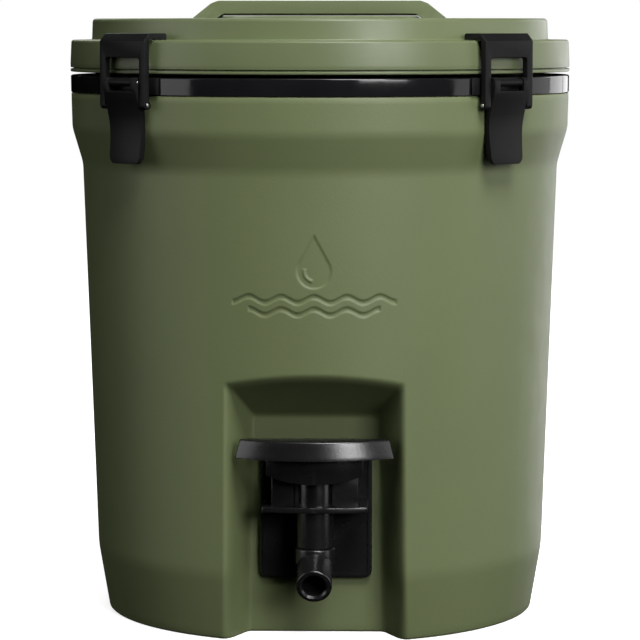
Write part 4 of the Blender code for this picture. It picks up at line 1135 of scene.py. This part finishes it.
def nozzle_skin(finish):
    """Outlet elbow: collar, bend and spout with a rolled lip and an open bore."""
    mouth = Vector((0.0, -142 * MM, 35.3 * MM))
    out = Vector((0.0, -cos(SPOUT_TILT), -sin(SPOUT_TILT)))
    bend = mouth - out * ((TAP_Y - mouth.y) / cos(SPOUT_TILT))
    down = Vector((0.0, 0.0, -1.0))
    turn_by = down.angle(out)

    def ring_at(centre, normal, radius, steps=64):
        side = Vector((1.0, 0.0, 0.0))
        other = normal.cross(side)
        turns = [2.0 * pi * k / steps for k in range(steps)]
        return [centre + (side * cos(t) + other * sin(t)) * radius for t in turns]

    def swept(radius, first_z, ends):
        """Round bar down the barrel's axis, round the bend and out; ends lists (way past, radius)."""
        hub_reach = radius * 1.02
        hub = bend - down * hub_reach * tan(turn_by / 2.0) + Vector((0.0, -hub_reach, 0.0))
        rings = [ring_at(Vector((0.0, TAP_Y, first_z)), down, radius)]
        for k in range(11):
            angle = turn_by * k / 10
            spoke = Vector((0.0, cos(angle), -sin(angle))) * hub_reach
            normal = Vector((0.0, -sin(angle), -cos(angle)))
            rings.append(ring_at(hub + spoke, normal, radius))
        rings += [ring_at(mouth + out * past, out, reach) for past, reach in ends]
        return skin("swept", rings)

    spout, bore, lip = 10.1 * MM, VALVE_BORE, 1.1 * MM
    outer = [(-6 * MM, spout), (-lip - 1 * MM, spout)]
    outer += [(lip * (sin(t) - 1.0), spout - lip * (1.0 - cos(t))) for t in QUARTER]
    flare = [(-4 * MM, bore), (-lip, bore)]
    flare += [(-lip * cos(t), bore + lip * (1.0 - sin(t + pi / 2))) for t in QUARTER[1:]]
    flare.append((2 * MM, bore + 1.2 * lip))
    shape = swept(spout, 52.9 * MM, outer)
    collar = plain_rod("collar", on_axis(53.5), on_axis(44.4), 11.4 * MM, 0.9 * MM, 64)
    spigot = plain_rod("spigot", on_axis(51), on_axis(58.5), 8.7 * MM, 0.3 * MM)
    combined(shape, "UNION", collar, spigot)
    combined(shape, "DIFFERENCE", swept(bore, 62 * MM, flare))
    shape.name = "nozzle_skin"
    piece(shape, "nozzle", finish, "nozzle_elbow")


# Pieces kept from the frame ------------


def finish_frame(finishes):
    """Gives each CAD node that still shows its finish, by its material slot."""
    slots = {row["node"]: row["material_slot"] for row in frame["record"]["subparts"]}
    for name, node in frame["nodes"].items():
        if node.hide_render:
            continue
        node.data.materials.clear()
        node.data.materials.append(finishes[slots[name]])
        shaded(node, 30.0)


# Studio ------------


def area_light(name, azimuth, elevation, distance, width, height, power):
    """Soft rectangular lamp aimed at the jug; azimuth 0 is in front of the tap."""
    a, e = radians(azimuth), radians(elevation)
    away = Vector((sin(a) * cos(e), -cos(a) * cos(e), sin(e)))
    lamp = bpy.data.lights.new(name, "AREA")
    lamp.shape = "RECTANGLE"
    lamp.size, lamp.size_y = width, height
    lamp.energy = power
    made = bpy.data.objects.new(name, lamp)
    bpy.context.scene.collection.objects.link(made)
    made.location = Vector(LAMP_TARGET) + away * distance
    made.rotation_euler = (-away).to_track_quat("-Z", "Y").to_euler()


def pale_floor():
    """Pale round floor, bright enough at its edge to meet the surround with no line."""
    outline = arc((0.0, 0.0), FLOOR_RADIUS, 0.0, 354.0, 59)
    floor = prism("floor", outline, "Z", -20 * MM, -0.2 * MM)
    n = Nodes("pale_floor")
    tone = n.spread(n.noise(3.0, 2.0), 0.3, 0.7)
    n.colour(tone, FLOOR_TONES)
    n.shader.inputs["Roughness"].default_value = 0.9
    n.shader.inputs["Emission Color"].default_value = WHITE
    reach = n.tree.nodes.new("ShaderNodeVectorMath")
    reach.operation = "LENGTH"
    n.link(n.place, reach.inputs[0])
    n.link(n.spread(reach.outputs["Value"], 0.2, 0.9, 0.8, 1.0), n.shader.inputs["Emission Strength"])
    floor.data.materials.append(n.material)
    floor.visible_diffuse = False
    floor.visible_glossy = False


def surround():
    """World that the camera sees as plain white and that lights nothing."""
    world = bpy.data.worlds.new("surround")
    bpy.context.scene.world = world
    world.use_nodes = True
    tree = world.node_tree
    background = tree.nodes["Background"]
    background.inputs["Color"].default_value = WHITE
    path = tree.nodes.new("ShaderNodeLightPath")
    tree.links.new(path.outputs["Is Camera Ray"], background.inputs["Strength"])


def studio():
    """Floor, surround and soft lamps, mostly from the right."""
    pale_floor()
    surround()
    for lamp in LAMPS:
        area_light(*lamp)
    bpy.context.scene.view_settings.view_transform = "Standard"


def camera():
    """Long lens level with the lid's edge, turned slightly to the right."""
    azimuth, distance = CAMERA_AZIMUTH, CAMERA_DISTANCE
    made = bpy.data.objects.new("camera", bpy.data.cameras.new("camera"))
    bpy.context.scene.collection.objects.link(made)
    made.location = (distance * sin(azimuth), -distance * cos(azimuth), EYE_Z)
    made.rotation_euler = (CAMERA_PITCH, 0.0, azimuth)
    made.data.sensor_width = SENSOR_WIDTH
    made.data.lens = LENS
    bpy.context.scene.camera = made


def main():
    green, lid, gloss = green_plastic(), lid_green(), gloss_black()
    satin, tap = satin_black(), tap_black()
    white, seal, metal, pale_foam = liner_white(), rubber(), steel(), foam()
    shell_skin(green)
    rim_band_skin(gloss)
    liner_skin(white)
    foam_skin(pale_foam)
    lid_top_skin(lid)
    lid_base_skin(lid)
    lid_gasket_skin(seal)
    handle_skin(lid)
    latch_skins(satin, metal)
    back_plate_skin(tap)
    tap_body_skin(tap)
    paddle_skin(tap)
    nozzle_skin(tap)
    finish_frame(
        {
            "green_plastic": green,
            "black_plastic": tap,
            "steel": metal,
            "rubber": seal,
            "white_plastic": white,
            "foam": pale_foam,
        }
    )
    studio()
    camera()


main()
